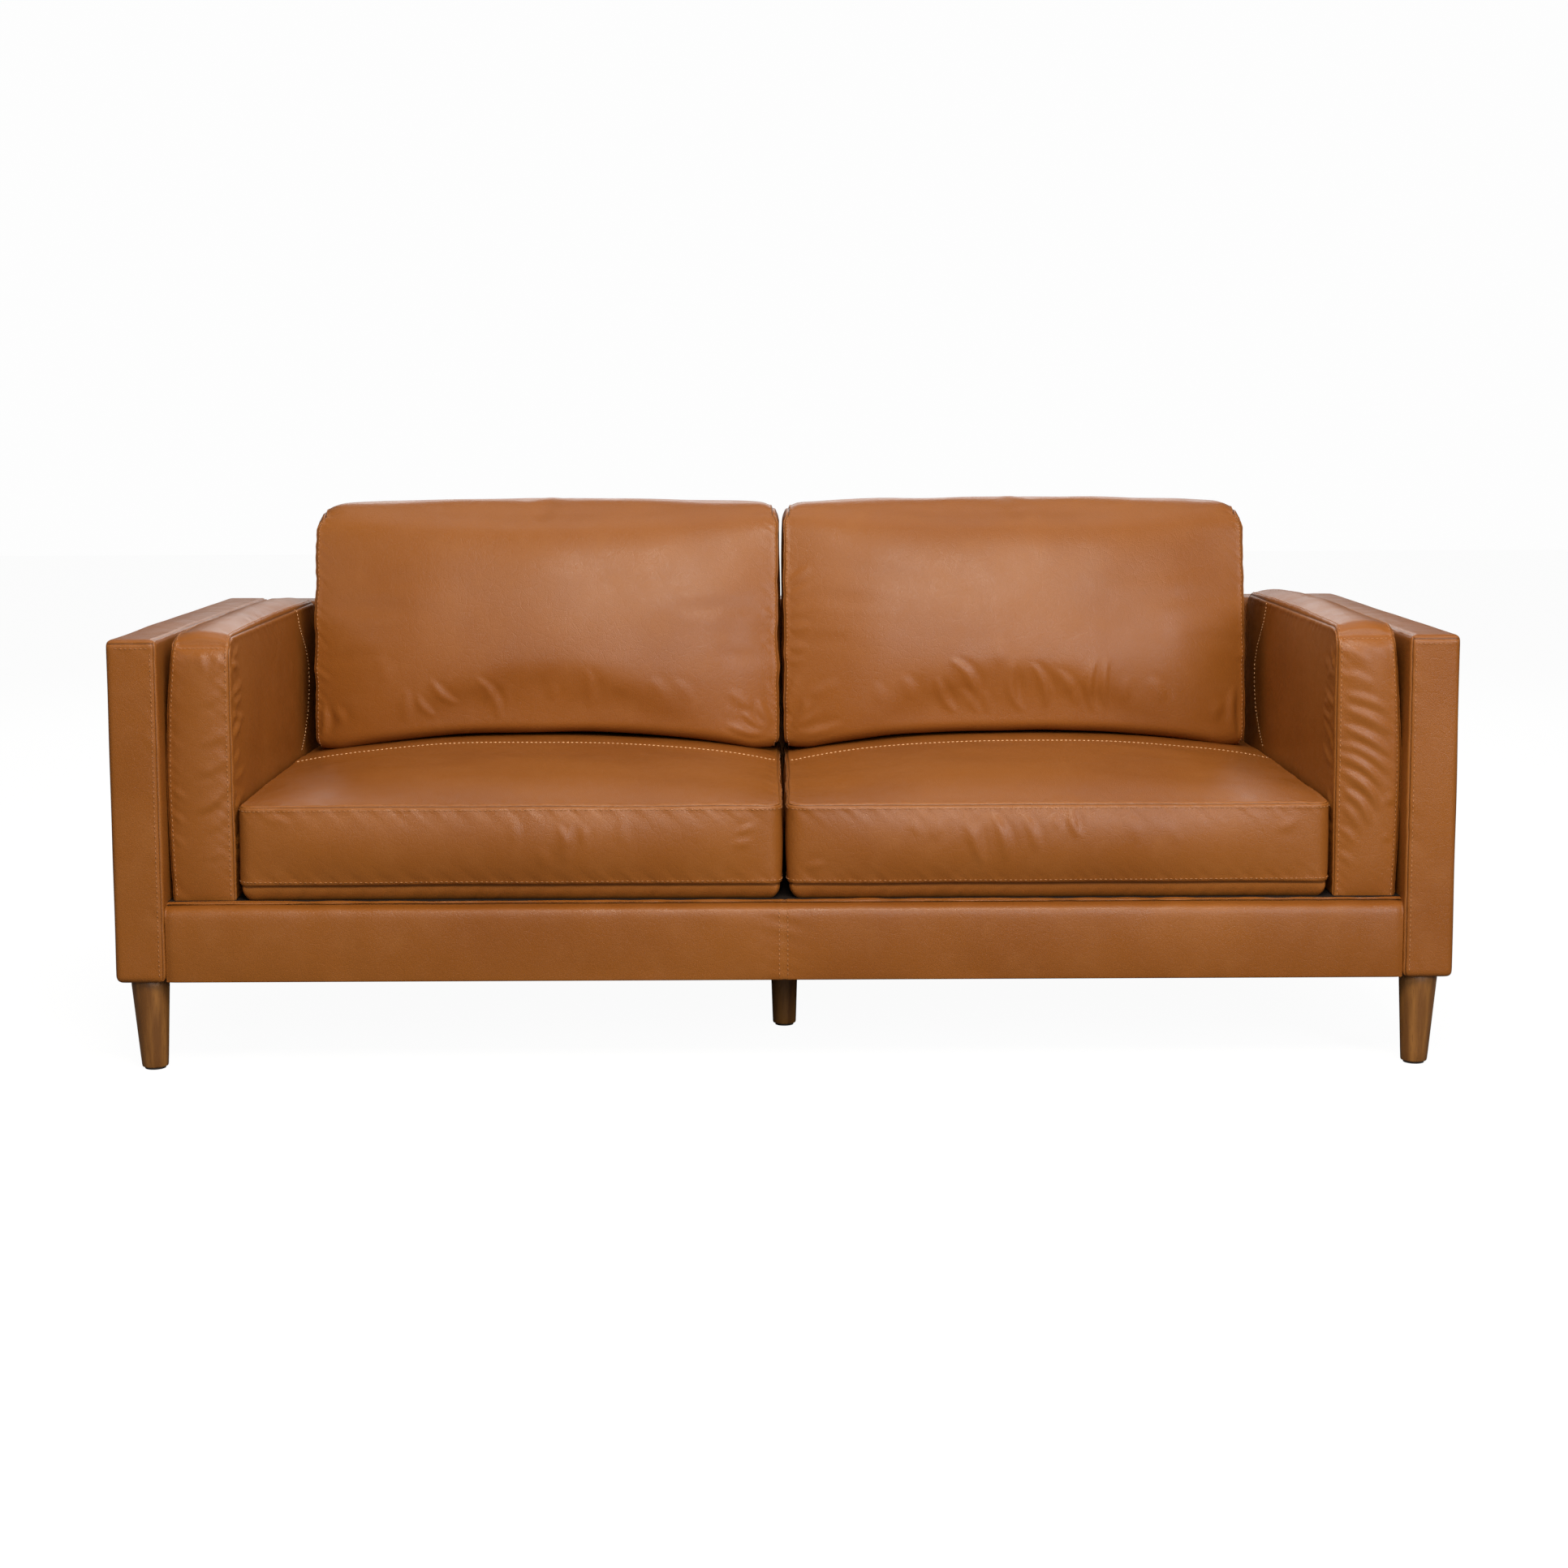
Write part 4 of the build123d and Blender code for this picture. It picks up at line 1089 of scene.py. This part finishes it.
PAD_FRONT_FOLDS = {
    "left": (
        (-850, 446, -900, 402, 0.10, 8, 2.4), (-852, 486, -896, 462, 0.10, 8, 1.4),
        (-850, 530, -890, 508, 0.1, 8, 1.2), (-854, 404, -884, 372, 0.10, 8, 1.2),
        (-862, 650, -872, 608, 0.10, 8, 1.6), (-892, 652, -884, 616, 0.0, 8, 1.4),
        (-856, 586, -890, 566, 0.0, 9, 0.9), (-932, 438, -912, 424, 0.0, 6, 1.2),
        (-934, 402, -914, 384, 0.0, 6, 1.2), (-934, 366, -916, 350, 0.0, 6, 1.0),
        (-856, 340, -888, 330, 0.0, 7, 0.8),
    ),
    "right": (
        (852, 578, 926, 550, 0.06, 7, 1.8), (852, 556, 930, 516, 0.06, 8, 2.6),
        (852, 528, 926, 482, 0.06, 8, 3.0), (850, 503, 926, 457, 0.06, 8, 2.8),
        (850, 485, 912, 432, 0.10, 8, 3.6), (852, 460, 908, 398, 0.12, 8, 4.0),
        (856, 430, 896, 374, 0.12, 8, 3.8), (852, 410, 880, 368, 0.10, 7, 2.4),
        (850, 610, 902, 590, 0.05, 8, 1.4), (856, 650, 892, 622, 0.10, 9, 1.4),
        (852, 372, 874, 344, 0.10, 7, 1.6), (932, 420, 912, 404, 0.0, 7, 1.2),
        (852, 330, 872, 314, 0.10, 7, 1.2), (930, 360, 914, 350, 0.0, 7, 1.0),
    ),
}


def pad_panel_folds(low, high, seed):
    """Short puckers along the front seam of an arm pad's inner panel, in y and z."""
    rng = random.Random(seed)
    panel = []
    for _ in range(24):
        z = rng.uniform(low[Z] + 0.06, high[Z] - 0.04)
        reach = rng.uniform(0.02, 0.075)
        panel.append(((low[Y] + 0.008, z), (low[Y] + 0.008 + reach, z + rng.uniform(-0.01, 0.035)),
                      rng.uniform(-0.1, 0.1), rng.uniform(0.005, 0.009), rng.uniform(0.0008, 0.0022)))
    return panel


def pad_cross_seam():
    """The curved seam near the rear of an arm pad's inner panel, as (y, z)."""
    return [(0.150, 0.676), (0.171, 0.641), (0.215, 0.600), (0.240, 0.562), (0.238, 0.520), (0.220, 0.478),
            (0.185, 0.445), (0.149, 0.423)]


def gap_to_line(first, second, line):
    """Distance from each point to a line of short straight runs, in two axes."""
    nearest = np.full_like(first, 1e9)
    for (ax, ay), (bx, by) in zip(line, line[1:]):
        dx, dy = bx - ax, by - ay
        t = np.clip(((first - ax) * dx + (second - ay) * dy) / (dx * dx + dy * dy), 0, 1)
        nearest = np.minimum(nearest, np.hypot(first - ax - t * dx, second - ay - t * dy))
    return nearest


class SOFA_OT_arm_pads(bpy.types.Operator):
    """Makes the two loose arm pads with their gussets, seams and puckers"""

    bl_idname = "sofa.arm_pads"
    bl_label = "Arm pads"

    def execute(self, context):
        cut, stitch = context.scene.sofa_cushions, context.scene.sofa_stitches
        covers = {}
        for side_name, side in SIDES:
            low, high = cad_limits(f"{side_name}_arm_pad_cover")
            low[Y], low[Z], high[Z] = PAD_FRONT, PAD_BOTTOM, PAD_TOP + PAD_TOP_STEP * side
            cover = panelled_box(f"{side_name}_arm_pad", low, high, cut.pitch)
            flat = read(cover.data, "flat")
            write(cover.data, pad_form(flat, low, high, side))
            front, top, under = flat[:, Y] < low[Y] + ON, flat[:, Z] > high[Z] - ON, flat[:, Z] < low[Z] + ON
            spare = np.where(front, 0.45 if side < 0 else 0.9, np.where(top, 0.3, 0.2))
            free = np.where(front, 1.0, np.where(top, 0.8, np.where(under, 0.0, 0.3)))
            covers[cover] = (low, high, spare, free)
        settle(covers, X, cut)
        for cover, (side_name, side) in zip(covers, SIDES):
            low, high = covers[cover][:2]
            subdivide(cover)
            flat = read(cover.data, "flat")
            inner, outer = sides_of(low, high)
            front = flat[:, Y] < low[Y] + NEAR
            inside = np.abs(flat[:, X]) < inner + NEAR
            folds = from_table(PAD_FRONT_FOLDS[side_name])
            lift = np.where(front, fold_height(flat[:, X], flat[:, Z], folds), 0)
            puckers = pad_panel_folds(low, high, 51 + side)
            lift += np.where(inside, fold_height(flat[:, Y], flat[:, Z], puckers), 0)
            cross = np.where(inside, gap_to_line(flat[:, Y], flat[:, Z], pad_cross_seam()), AWAY)
            lift += np.where(inside, -0.0012 * bell(cross, 0.0026) + 0.0006 * bell(cross - 0.007, 0.004), 0)
            corner = np.where(front, np.abs(flat[:, Z] - (high[Z] - 0.004)), AWAY)
            lift += -0.0016 * bell(corner, 0.0022)
            raise_leather(cover, lift)
            sew(cover, low, high, X, seed=61 + side)
            rest_on_deck(cover)
            body = f"{side_name}_arm_pad"
            dress(cover, leather_material(), body)
            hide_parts(f"{side_name}_arm_pad_cover", f"{side_name}_arm_pad_core")
            surface = Surface(cover)
            rows = loop_row(low, high, X, side * (inner + stitch.setback))
            rows += loop_row(low, high, X, side * (outer - stitch.setback))
            widths = np.linspace(inner + 0.008, outer - 0.008, 6)
            rows.append([(side * a, low[Y], high[Z] - 0.0095) for a in widths])
            stitch_rows(f"{side_name}_arm_pad_stitches", surface, rows, thread_material(), body, stitch)
            rows = [[(side * inner, y - 0.004, z) for y, z in pad_cross_seam()]]
            pale = thread_material(contrast=True)
            stitch_rows(f"{side_name}_arm_pad_side_stitches", surface, rows, pale, body, stitch, 1.4)
        return {"FINISHED"}


# ------------------------------------------------------------------ fixed upholstery


def rounded(flat, low, high, radius, crown, seed):
    """A padded box: edges rounded to radius, faces crowned a little, with slow unevenness."""
    low, high = np.array(low), np.array(high)
    core = np.clip(flat, low + radius, high - radius)
    away = flat - core
    length = np.linalg.norm(away, axis=1, keepdims=True)
    surface = core + away / np.maximum(length, 1e-9) * radius
    gaps = np.sort(edge_gaps(flat, low, high), axis=1)
    puff = crown * ease(gaps[:, 1], 0.05, 2.0) * ease(gaps[:, 2], 0.3, 1.0)
    puff += 0.0006 * swell(flat, seed, 0.22)
    middle = (low + high) / 2
    out = away / np.maximum(length, 1e-9)
    facing = np.where(np.abs(out) > 0.9, np.sign(flat - middle), 0)
    return surface + facing * puff[:, None]


def groove(lift, gap, depth=0.0016, width=0.0018):
    """Adds one seam's groove, and the soft ridges beside it, to a set of heights."""
    return lift - depth * bell(gap, width) + 0.0004 * bell(gap - 0.005, 0.003)


class SOFA_OT_arms(bpy.types.Operator):
    """Makes the leather of the two box arms with their front seams and topstitching"""

    bl_idname = "sofa.arms"
    bl_label = "Arms"

    def execute(self, context):
        stitch = context.scene.sofa_stitches
        for side_name, side in SIDES:
            low, high = cad_limits(f"{side_name}_arm_cover")
            cover = panelled_box(f"{side_name}_arm", low, high, 0.012)
            flat = read(cover.data, "flat")
            write(cover.data, rounded(flat, low, high, 0.009, 0.0025, 71 + side))
            subdivide(cover)
            flat = read(cover.data, "flat")
            inner, outer = sides_of(low, high)
            front, top = flat[:, Y] < low[Y] + NEAR, flat[:, Z] > high[Z] - NEAR
            rear, across = flat[:, Y] > high[Y] - NEAR, np.abs(flat[:, X])
            inner_seam = np.where(across < inner + NEAR, flat[:, Y] - low[Y], AWAY)
            inner_seam = np.where(front, across - inner, inner_seam)
            top_seam = np.where(front, high[Z] - flat[:, Z] - 0.005, AWAY)
            inner_top = np.where(top & (flat[:, Y] > low[Y] + 0.01), np.abs(across - inner - 0.0045), AWAY)
            rear_seam = np.where(rear, np.minimum(across - inner, outer - across), AWAY)
            gap = np.minimum.reduce([np.abs(inner_seam), np.abs(top_seam), inner_top, rear_seam])
            lift = groove(np.zeros(len(flat)), gap)
            lift += 0.0005 * ripple(flat @ np.array((1.0, 0.9, 1.1)), 81 + side, 0.09, 0.03) * bell(gap, 0.02)
            raise_leather(cover, lift)
            note(cover.data, "seam", gap)
            dress(cover, leather_material(), "root")
            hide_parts(f"{side_name}_arm_cover", f"{side_name}_arm_padding")
            surface = Surface(cover)
            heights = np.linspace(low[Z] + 0.008, high[Z] - 0.012, 50)
            widths = np.linspace(inner + 0.010, outer - 0.008, 8)
            rows = [[(side * (inner + stitch.setback + 0.0015), low[Y], z) for z in heights]]
            rows.append([(side * a, low[Y], high[Z] - 0.0125) for a in widths])
            for x in (inner + stitch.setback, outer - stitch.setback):
                rows.append([(side * x, high[Y], z) for z in heights])
            stitch_rows(f"{side_name}_arm_stitches", surface, rows, thread_material(), "root", stitch)
        return {"FINISHED"}


class SOFA_OT_front_rail(bpy.types.Operator):
    """Makes the front rail's leather with its soft top edge and centre seam"""

    bl_idname = "sofa.front_rail"
    bl_label = "Front rail"

    def execute(self, context):
        stitch = context.scene.sofa_stitches
        low, high = cad_limits("front_rail_cover")
        cover = panelled_box("front_rail_leather", low, high, 0.011)
        flat = read(cover.data, "flat")
        up = (flat[:, Z] - low[Z]) / (high[Z] - low[Z])
        places = flat.copy()
        front = flat[:, Y] < low[Y] + ON
        depth = np.clip((flat[:, Y] - low[Y]) / (high[Y] - low[Y]), 0, 1)
        radius, squash, belly, seam_x = 0.018, 0.85, 0.0035, -0.002
        over = np.clip(flat[:, Z] - (high[Z] - radius), 0, radius)
        lean = radius - np.sqrt(np.clip(radius**2 - over**2, 0, None))
        places[:, Y] += np.where(front, lean * squash, 0)
        places[:, Y] = np.where(front, places[:, Y] - belly * np.sin(np.pi * up) ** 0.8, places[:, Y])
        places[:, Y] = np.maximum(places[:, Y], low[Y] - belly)
        top = flat[:, Z] > high[Z] - ON
        places[:, Y] = np.where(top, places[:, Y] + (1 - depth) * radius * squash, places[:, Y])
        places[:, Z] -= 0.004 * (1 - depth) * np.clip((up - 0.5) / 0.5, 0, 1)
        ends = np.minimum(flat[:, X] - low[X], high[X] - flat[:, X])
        tuck = 0.0045 * bell(ends, 0.007) + 0.003 * bell(ends, 0.05) * np.clip(up - 0.5, 0, 1)
        places[:, Y] += np.where(front, tuck, 0)
        write(cover.data, places)
        subdivide(cover)
        flat = read(cover.data, "flat")
        front = flat[:, Y] < low[Y] + NEAR
        centre = np.where(front | (flat[:, Z] > high[Z] - NEAR), np.abs(flat[:, X] - seam_x), AWAY)
        lift = groove(np.zeros(len(flat)), centre, 0.0022, 0.0022)
        pull = ripple(flat[:, Z] + 0.3 * flat[:, X], 91, 0.05, 0.02) * 0.0006 * bell(centre, 0.03)
        calm = ease(edge_gaps(flat, low, high)[:, X], 0.1) * ease(flat[:, Z] - low[Z], 0.03)
        hills = 0.0008 * swell(flat, 92, 0.30) + 0.0006 * swell(flat * (1.0, 1.0, 0.3), 93, 0.07)
        lift += pull + hills * calm
        raise_leather(cover, lift)
        note(cover.data, "seam", centre)
        dress(cover, leather_material(), "root")
        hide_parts("front_rail_cover", "front_rail_padding")
        surface = Surface(cover)
        heights = np.linspace(low[Z] + 0.006, high[Z] - 0.004, 14)
        rows = [[(x, low[Y], z) for z in heights] for x in (seam_x - stitch.setback, seam_x + stitch.setback)]
        stitch_rows("front_rail_stitches", surface, rows, thread_material(), "root", stitch)
        return {"FINISHED"}


class SOFA_OT_back(bpy.types.Operator):
    """Makes the leather of the fixed back between the arms, with its panel seams behind"""

    bl_idname = "sofa.back"
    bl_label = "Back"

    def execute(self, context):
        stitch = context.scene.sofa_stitches
        low, high = cad_limits("back_cover")
        cover = panelled_box("back_leather", low, high, 0.014)
        flat = read(cover.data, "flat")
        write(cover.data, rounded(flat, low, high, 0.008, 0.0020, 95))
        subdivide(cover)
        flat = read(cover.data, "flat")
        rear = flat[:, Y] > high[Y] - NEAR
        thirds = [low[X] + (high[X] - low[X]) * part / 3 for part in (1, 2)]
        upright = np.minimum.reduce([np.abs(flat[:, X] - x) for x in thirds])
        top_seam = high[Z] - 0.006
        gap = np.where(rear, np.minimum(upright, np.abs(top_seam - flat[:, Z])), AWAY)
        lift = groove(np.zeros(len(flat)), gap, 0.0018, 0.0022) + 0.0010 * swell(flat, 96, 0.35)
        raise_leather(cover, lift)
        note(cover.data, "seam", gap)
        dress(cover, leather_material(), "root")
        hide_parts("back_cover", "back_padding")
        surface = Surface(cover)
        heights = np.linspace(low[Z] + 0.008, high[Z] - 0.016, 40)
        rows = [[(x + shift, high[Y], z) for z in heights]
                for x in thirds for shift in (-stitch.setback, stitch.setback)]
        widths = np.linspace(low[X] + 0.01, high[X] - 0.01, 60)
        rows.append([(x, high[Y], top_seam - stitch.setback) for x in widths])
        stitch_rows("back_stitches", surface, rows, thread_material(), "root", stitch)
        return {"FINISHED"}


# ------------------------------------------------------------------ legs, frame and stage


class SOFA_OT_legs(bpy.types.Operator):
    """Turns the five tapered legs, each with a rounded foot and a thin shadow collar"""

    bl_idname = "sofa.legs"
    bl_label = "Legs"

    def execute(self, context):
        wood = plain_materials()["leg_wood"]
        for node in ("left_front_leg", "right_front_leg", "left_rear_leg", "right_rear_leg", "centre_leg"):
            places = read(frame["nodes"][node].data)
            low, high = places.min(axis=0), places.max(axis=0)
            foot = places[places[:, Z] < low[Z] + 0.0035]
            head = places[places[:, Z] > high[Z] - 0.0005]
            rims = [(ring.min(axis=0) + ring.max(axis=0)) / 2 for ring in (foot, head)]
            radii = [(ring[:, Y].max() - ring[:, Y].min()) / 2 for ring in (foot, head)]
            bm = bmesh.new()
            profile = [(0.0, 0.0), (radii[0] - 0.0022, 0.0), (radii[0] - 0.0006, 0.0008), (radii[0], 0.0026)]
            rise = high[Z] - low[Z]
            for part in (0.12, 0.3, 0.5, 0.7, 0.88, 0.985):
                profile.append((radii[0] + (radii[1] - radii[0]) * part, rise * part))
            profile += [(radii[1] - 0.0012, rise), (0.0, rise)]
            verts = [bm.verts.new((r, 0, z)) for r, z in profile]
            edges = [bm.edges.new(pair) for pair in zip(verts, verts[1:])]
            bmesh.ops.spin(
                bm, geom=verts + edges, cent=(0, 0, 0), axis=(0, 0, 1), angle=2 * math.pi, steps=64,
                use_merge=True,
            )
            bmesh.ops.remove_doubles(bm, verts=bm.verts, dist=1e-5)
            bmesh.ops.recalc_face_normals(bm, faces=bm.faces)
            for vert in bm.verts:
                part = vert.co.z / rise
                centre = rims[0] + (rims[1] - rims[0]) * part
                vert.co.x += centre[X]
                vert.co.y += centre[Y]
                vert.co.z += low[Z]
            mesh = bpy.data.meshes.new(node)
            bm.to_mesh(mesh)
            bm.free()
            mesh.shade_smooth()
            leg = dress(link(f"{node}_turned", mesh), wood, "root")
            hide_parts(node)
        return {"FINISHED"}


class SOFA_OT_inner_frame(bpy.types.Operator):
    """Finishes the timbers, springs, cloths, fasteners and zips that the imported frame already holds"""

    bl_idname = "sofa.inner_frame"
    bl_label = "Frame, springs and zips"

    def execute(self, context):
        finishes = plain_materials()
        slots = {part["node"]: part["material_slot"] for part in frame["record"]["subparts"]}
        for node, obj in frame["nodes"].items():
            material = finishes.get(slots[node]) or leather_material(seamed=False)
            obj.data.materials.clear()
            obj.data.materials.append(material)
        return {"FINISHED"}


class SOFA_OT_stage(bpy.types.Operator):
    """Sets the pale floor, the soft lights and the camera"""

    bl_idname = "sofa.stage"
    bl_label = "Stage"

    def execute(self, context):
        scene, stage = context.scene, context.scene.sofa_stage
        scene.view_settings.view_transform = "Standard"
        bm = bmesh.new()
        bmesh.ops.create_grid(bm, x_segments=2, y_segments=2, size=14)
        mesh = bpy.data.meshes.new("floor")
        bm.to_mesh(mesh)
        bm.free()
        floor = link("floor", mesh)
        pale = bpy.data.materials.new("Pale floor")
        pale.use_nodes = True
        tree = pale.node_tree
        tree.nodes.clear()
        seen = add_node(tree, "ShaderNodeLightPath").outputs["Is Camera Ray"]
        plain = add_node(tree, "ShaderNodeBsdfDiffuse", (("Color", (0.12, 0.115, 0.11, 1)),))
        faint = add_node(tree, "ShaderNodeBsdfDiffuse", (("Color", (0.08, 0.08, 0.08, 1)),))
        bright = add_node(tree, "ShaderNodeEmission", (("Color", (1, 1, 1, 1)), ("Strength", 0.955)))
        lit = add_node(tree, "ShaderNodeAddShader", ((0, faint.outputs[0]), (1, bright.outputs[0])))
        mix = add_node(tree, "ShaderNodeMixShader", ((0, seen), (1, plain.outputs[0]), (2, lit.outputs[0])))
        add_node(tree, "ShaderNodeOutputMaterial", (("Surface", mix.outputs[0]),))
        mesh.materials.append(pale)

        world = bpy.data.worlds.new("Studio")
        scene.world = world
        world.use_nodes = True
        tree = world.node_tree
        tree.nodes.clear()
        seen = add_node(tree, "ShaderNodeLightPath").outputs["Is Camera Ray"]
        white = add_node(tree, "ShaderNodeBackground", (("Color", (1, 1, 1, 1)), ("Strength", 0.985)))
        soft = add_node(tree, "ShaderNodeBackground", (("Color", (1, 0.99, 0.975, 1)), ("Strength", 0.175)))
        mix = add_node(tree, "ShaderNodeMixShader", ((0, seen), (1, soft.outputs[0]), (2, white.outputs[0])))
        add_node(tree, "ShaderNodeOutputWorld", (("Surface", mix.outputs[0]),))

        for name, place, target, size, power, colour in (
            ("Key", (0.25, -2.6, 2.75), (0.05, 0, 0.5), (1.8, 0.9), 90, (1.0, 0.91, 0.78)),
            ("Window", (0.9, -5.4, 2.1), (0, 0, 0.4), (3.2, 1.6), 82, (0.92, 0.96, 1.0)),
            ("Right fill", (2.6, -3.5, 1.7), (0.5, 0, 0.45), (0.8, 1.3), 48, (0.95, 0.97, 1.0)),
            ("Left fill", (-3.2, -3.0, 2.0), (-0.4, 0, 0.4), (0.9, 1.4), 12, (1.0, 0.97, 0.94)),
            ("Top", (0, 0.2, 3.2), (0, 0, 0), (3.0, 1.6), 28, (1.0, 0.97, 0.93)),
            ("Behind", (0, 4.2, 2.8), (0, 0, 0.4), (4.0, 2.0), 60, (1.0, 1.0, 1.0)),
        ):
            light = bpy.data.lights.new(name, "AREA")
            light.shape = "RECTANGLE"
            light.size, light.size_y = size
            light.energy = power
            light.color = colour
            lamp = link(name, light)
            lamp.matrix_world = Matrix.Translation(place) @ (
                (Vector(target) - Vector(place)).to_track_quat("-Z", "Y").to_matrix().to_4x4()
            )

        down, yaw = stage.pitch_down, stage.yaw
        forward = Vector((math.sin(yaw) * math.cos(down), math.cos(yaw) * math.cos(down), -math.sin(down)))
        right = forward.cross(Vector((0, 0, 1))).normalized()
        up = right.cross(forward)
        cos, sin = math.cos(stage.roll), math.sin(stage.roll)
        right, up = right * cos - up * sin, right * sin + up * cos
        camera = bpy.data.cameras.new("Camera")
        camera.lens, camera.sensor_width, camera.shift_y = stage.lens, 36, stage.shift
        camera.dof.use_dof = False
        viewer = link("Camera", camera)
        turn = Matrix((right, up, -forward)).transposed().to_4x4()
        viewer.matrix_world = Matrix.Translation(stage.camera_place) @ turn
        scene.camera = viewer
        return {"FINISHED"}


class SOFA_PT_panel(bpy.types.Panel):
    """Lists the sofa's pieces in the order that they are made"""

    bl_label = "Leather sofa"
    bl_idname = "SOFA_PT_panel"
    bl_space_type = "VIEW_3D"
    bl_region_type = "UI"
    bl_category = "Sofa"

    def draw(self, context):
        for operator in OPERATORS:
            self.layout.operator(operator.bl_idname)
        for name in SETTINGS:
            settings = getattr(context.scene, name)
            box = self.layout.box()
            for key in settings.bl_rna.properties.keys():
                if key not in ("rna_type", "name"):
                    box.prop(settings, key)


SETTINGS = {
    "sofa_leather": LeatherSettings,
    "sofa_cushions": CushionSettings,
    "sofa_stitches": StitchSettings,
    "sofa_stage": StageSettings,
}
OPERATORS = (
    SOFA_OT_inner_frame,
    SOFA_OT_legs,
    SOFA_OT_back,
    SOFA_OT_arms,
    SOFA_OT_front_rail,
    SOFA_OT_arm_pads,
    SOFA_OT_seat_cushions,
    SOFA_OT_back_cushions,
    SOFA_OT_stage,
)


def register():
    """Registers the settings, the operators and the panel."""
    for settings in SETTINGS.values():
        bpy.utils.register_class(settings)
    for name, settings in SETTINGS.items():
        setattr(bpy.types.Scene, name, PointerProperty(type=settings))
    for operator in OPERATORS:
        bpy.utils.register_class(operator)
    bpy.utils.register_class(SOFA_PT_panel)


def unregister():
    """Takes everything back out."""
    bpy.utils.unregister_class(SOFA_PT_panel)
    for operator in reversed(OPERATORS):
        bpy.utils.unregister_class(operator)
    for name in SETTINGS:
        delattr(bpy.types.Scene, name)
    for settings in SETTINGS.values():
        bpy.utils.unregister_class(settings)


def main():
    """Makes every piece in order."""
    register()
    for operator in OPERATORS:
        group, name = operator.bl_idname.split(".")
        getattr(getattr(bpy.ops, group), name)()


if __name__ == "__main__":
    main()
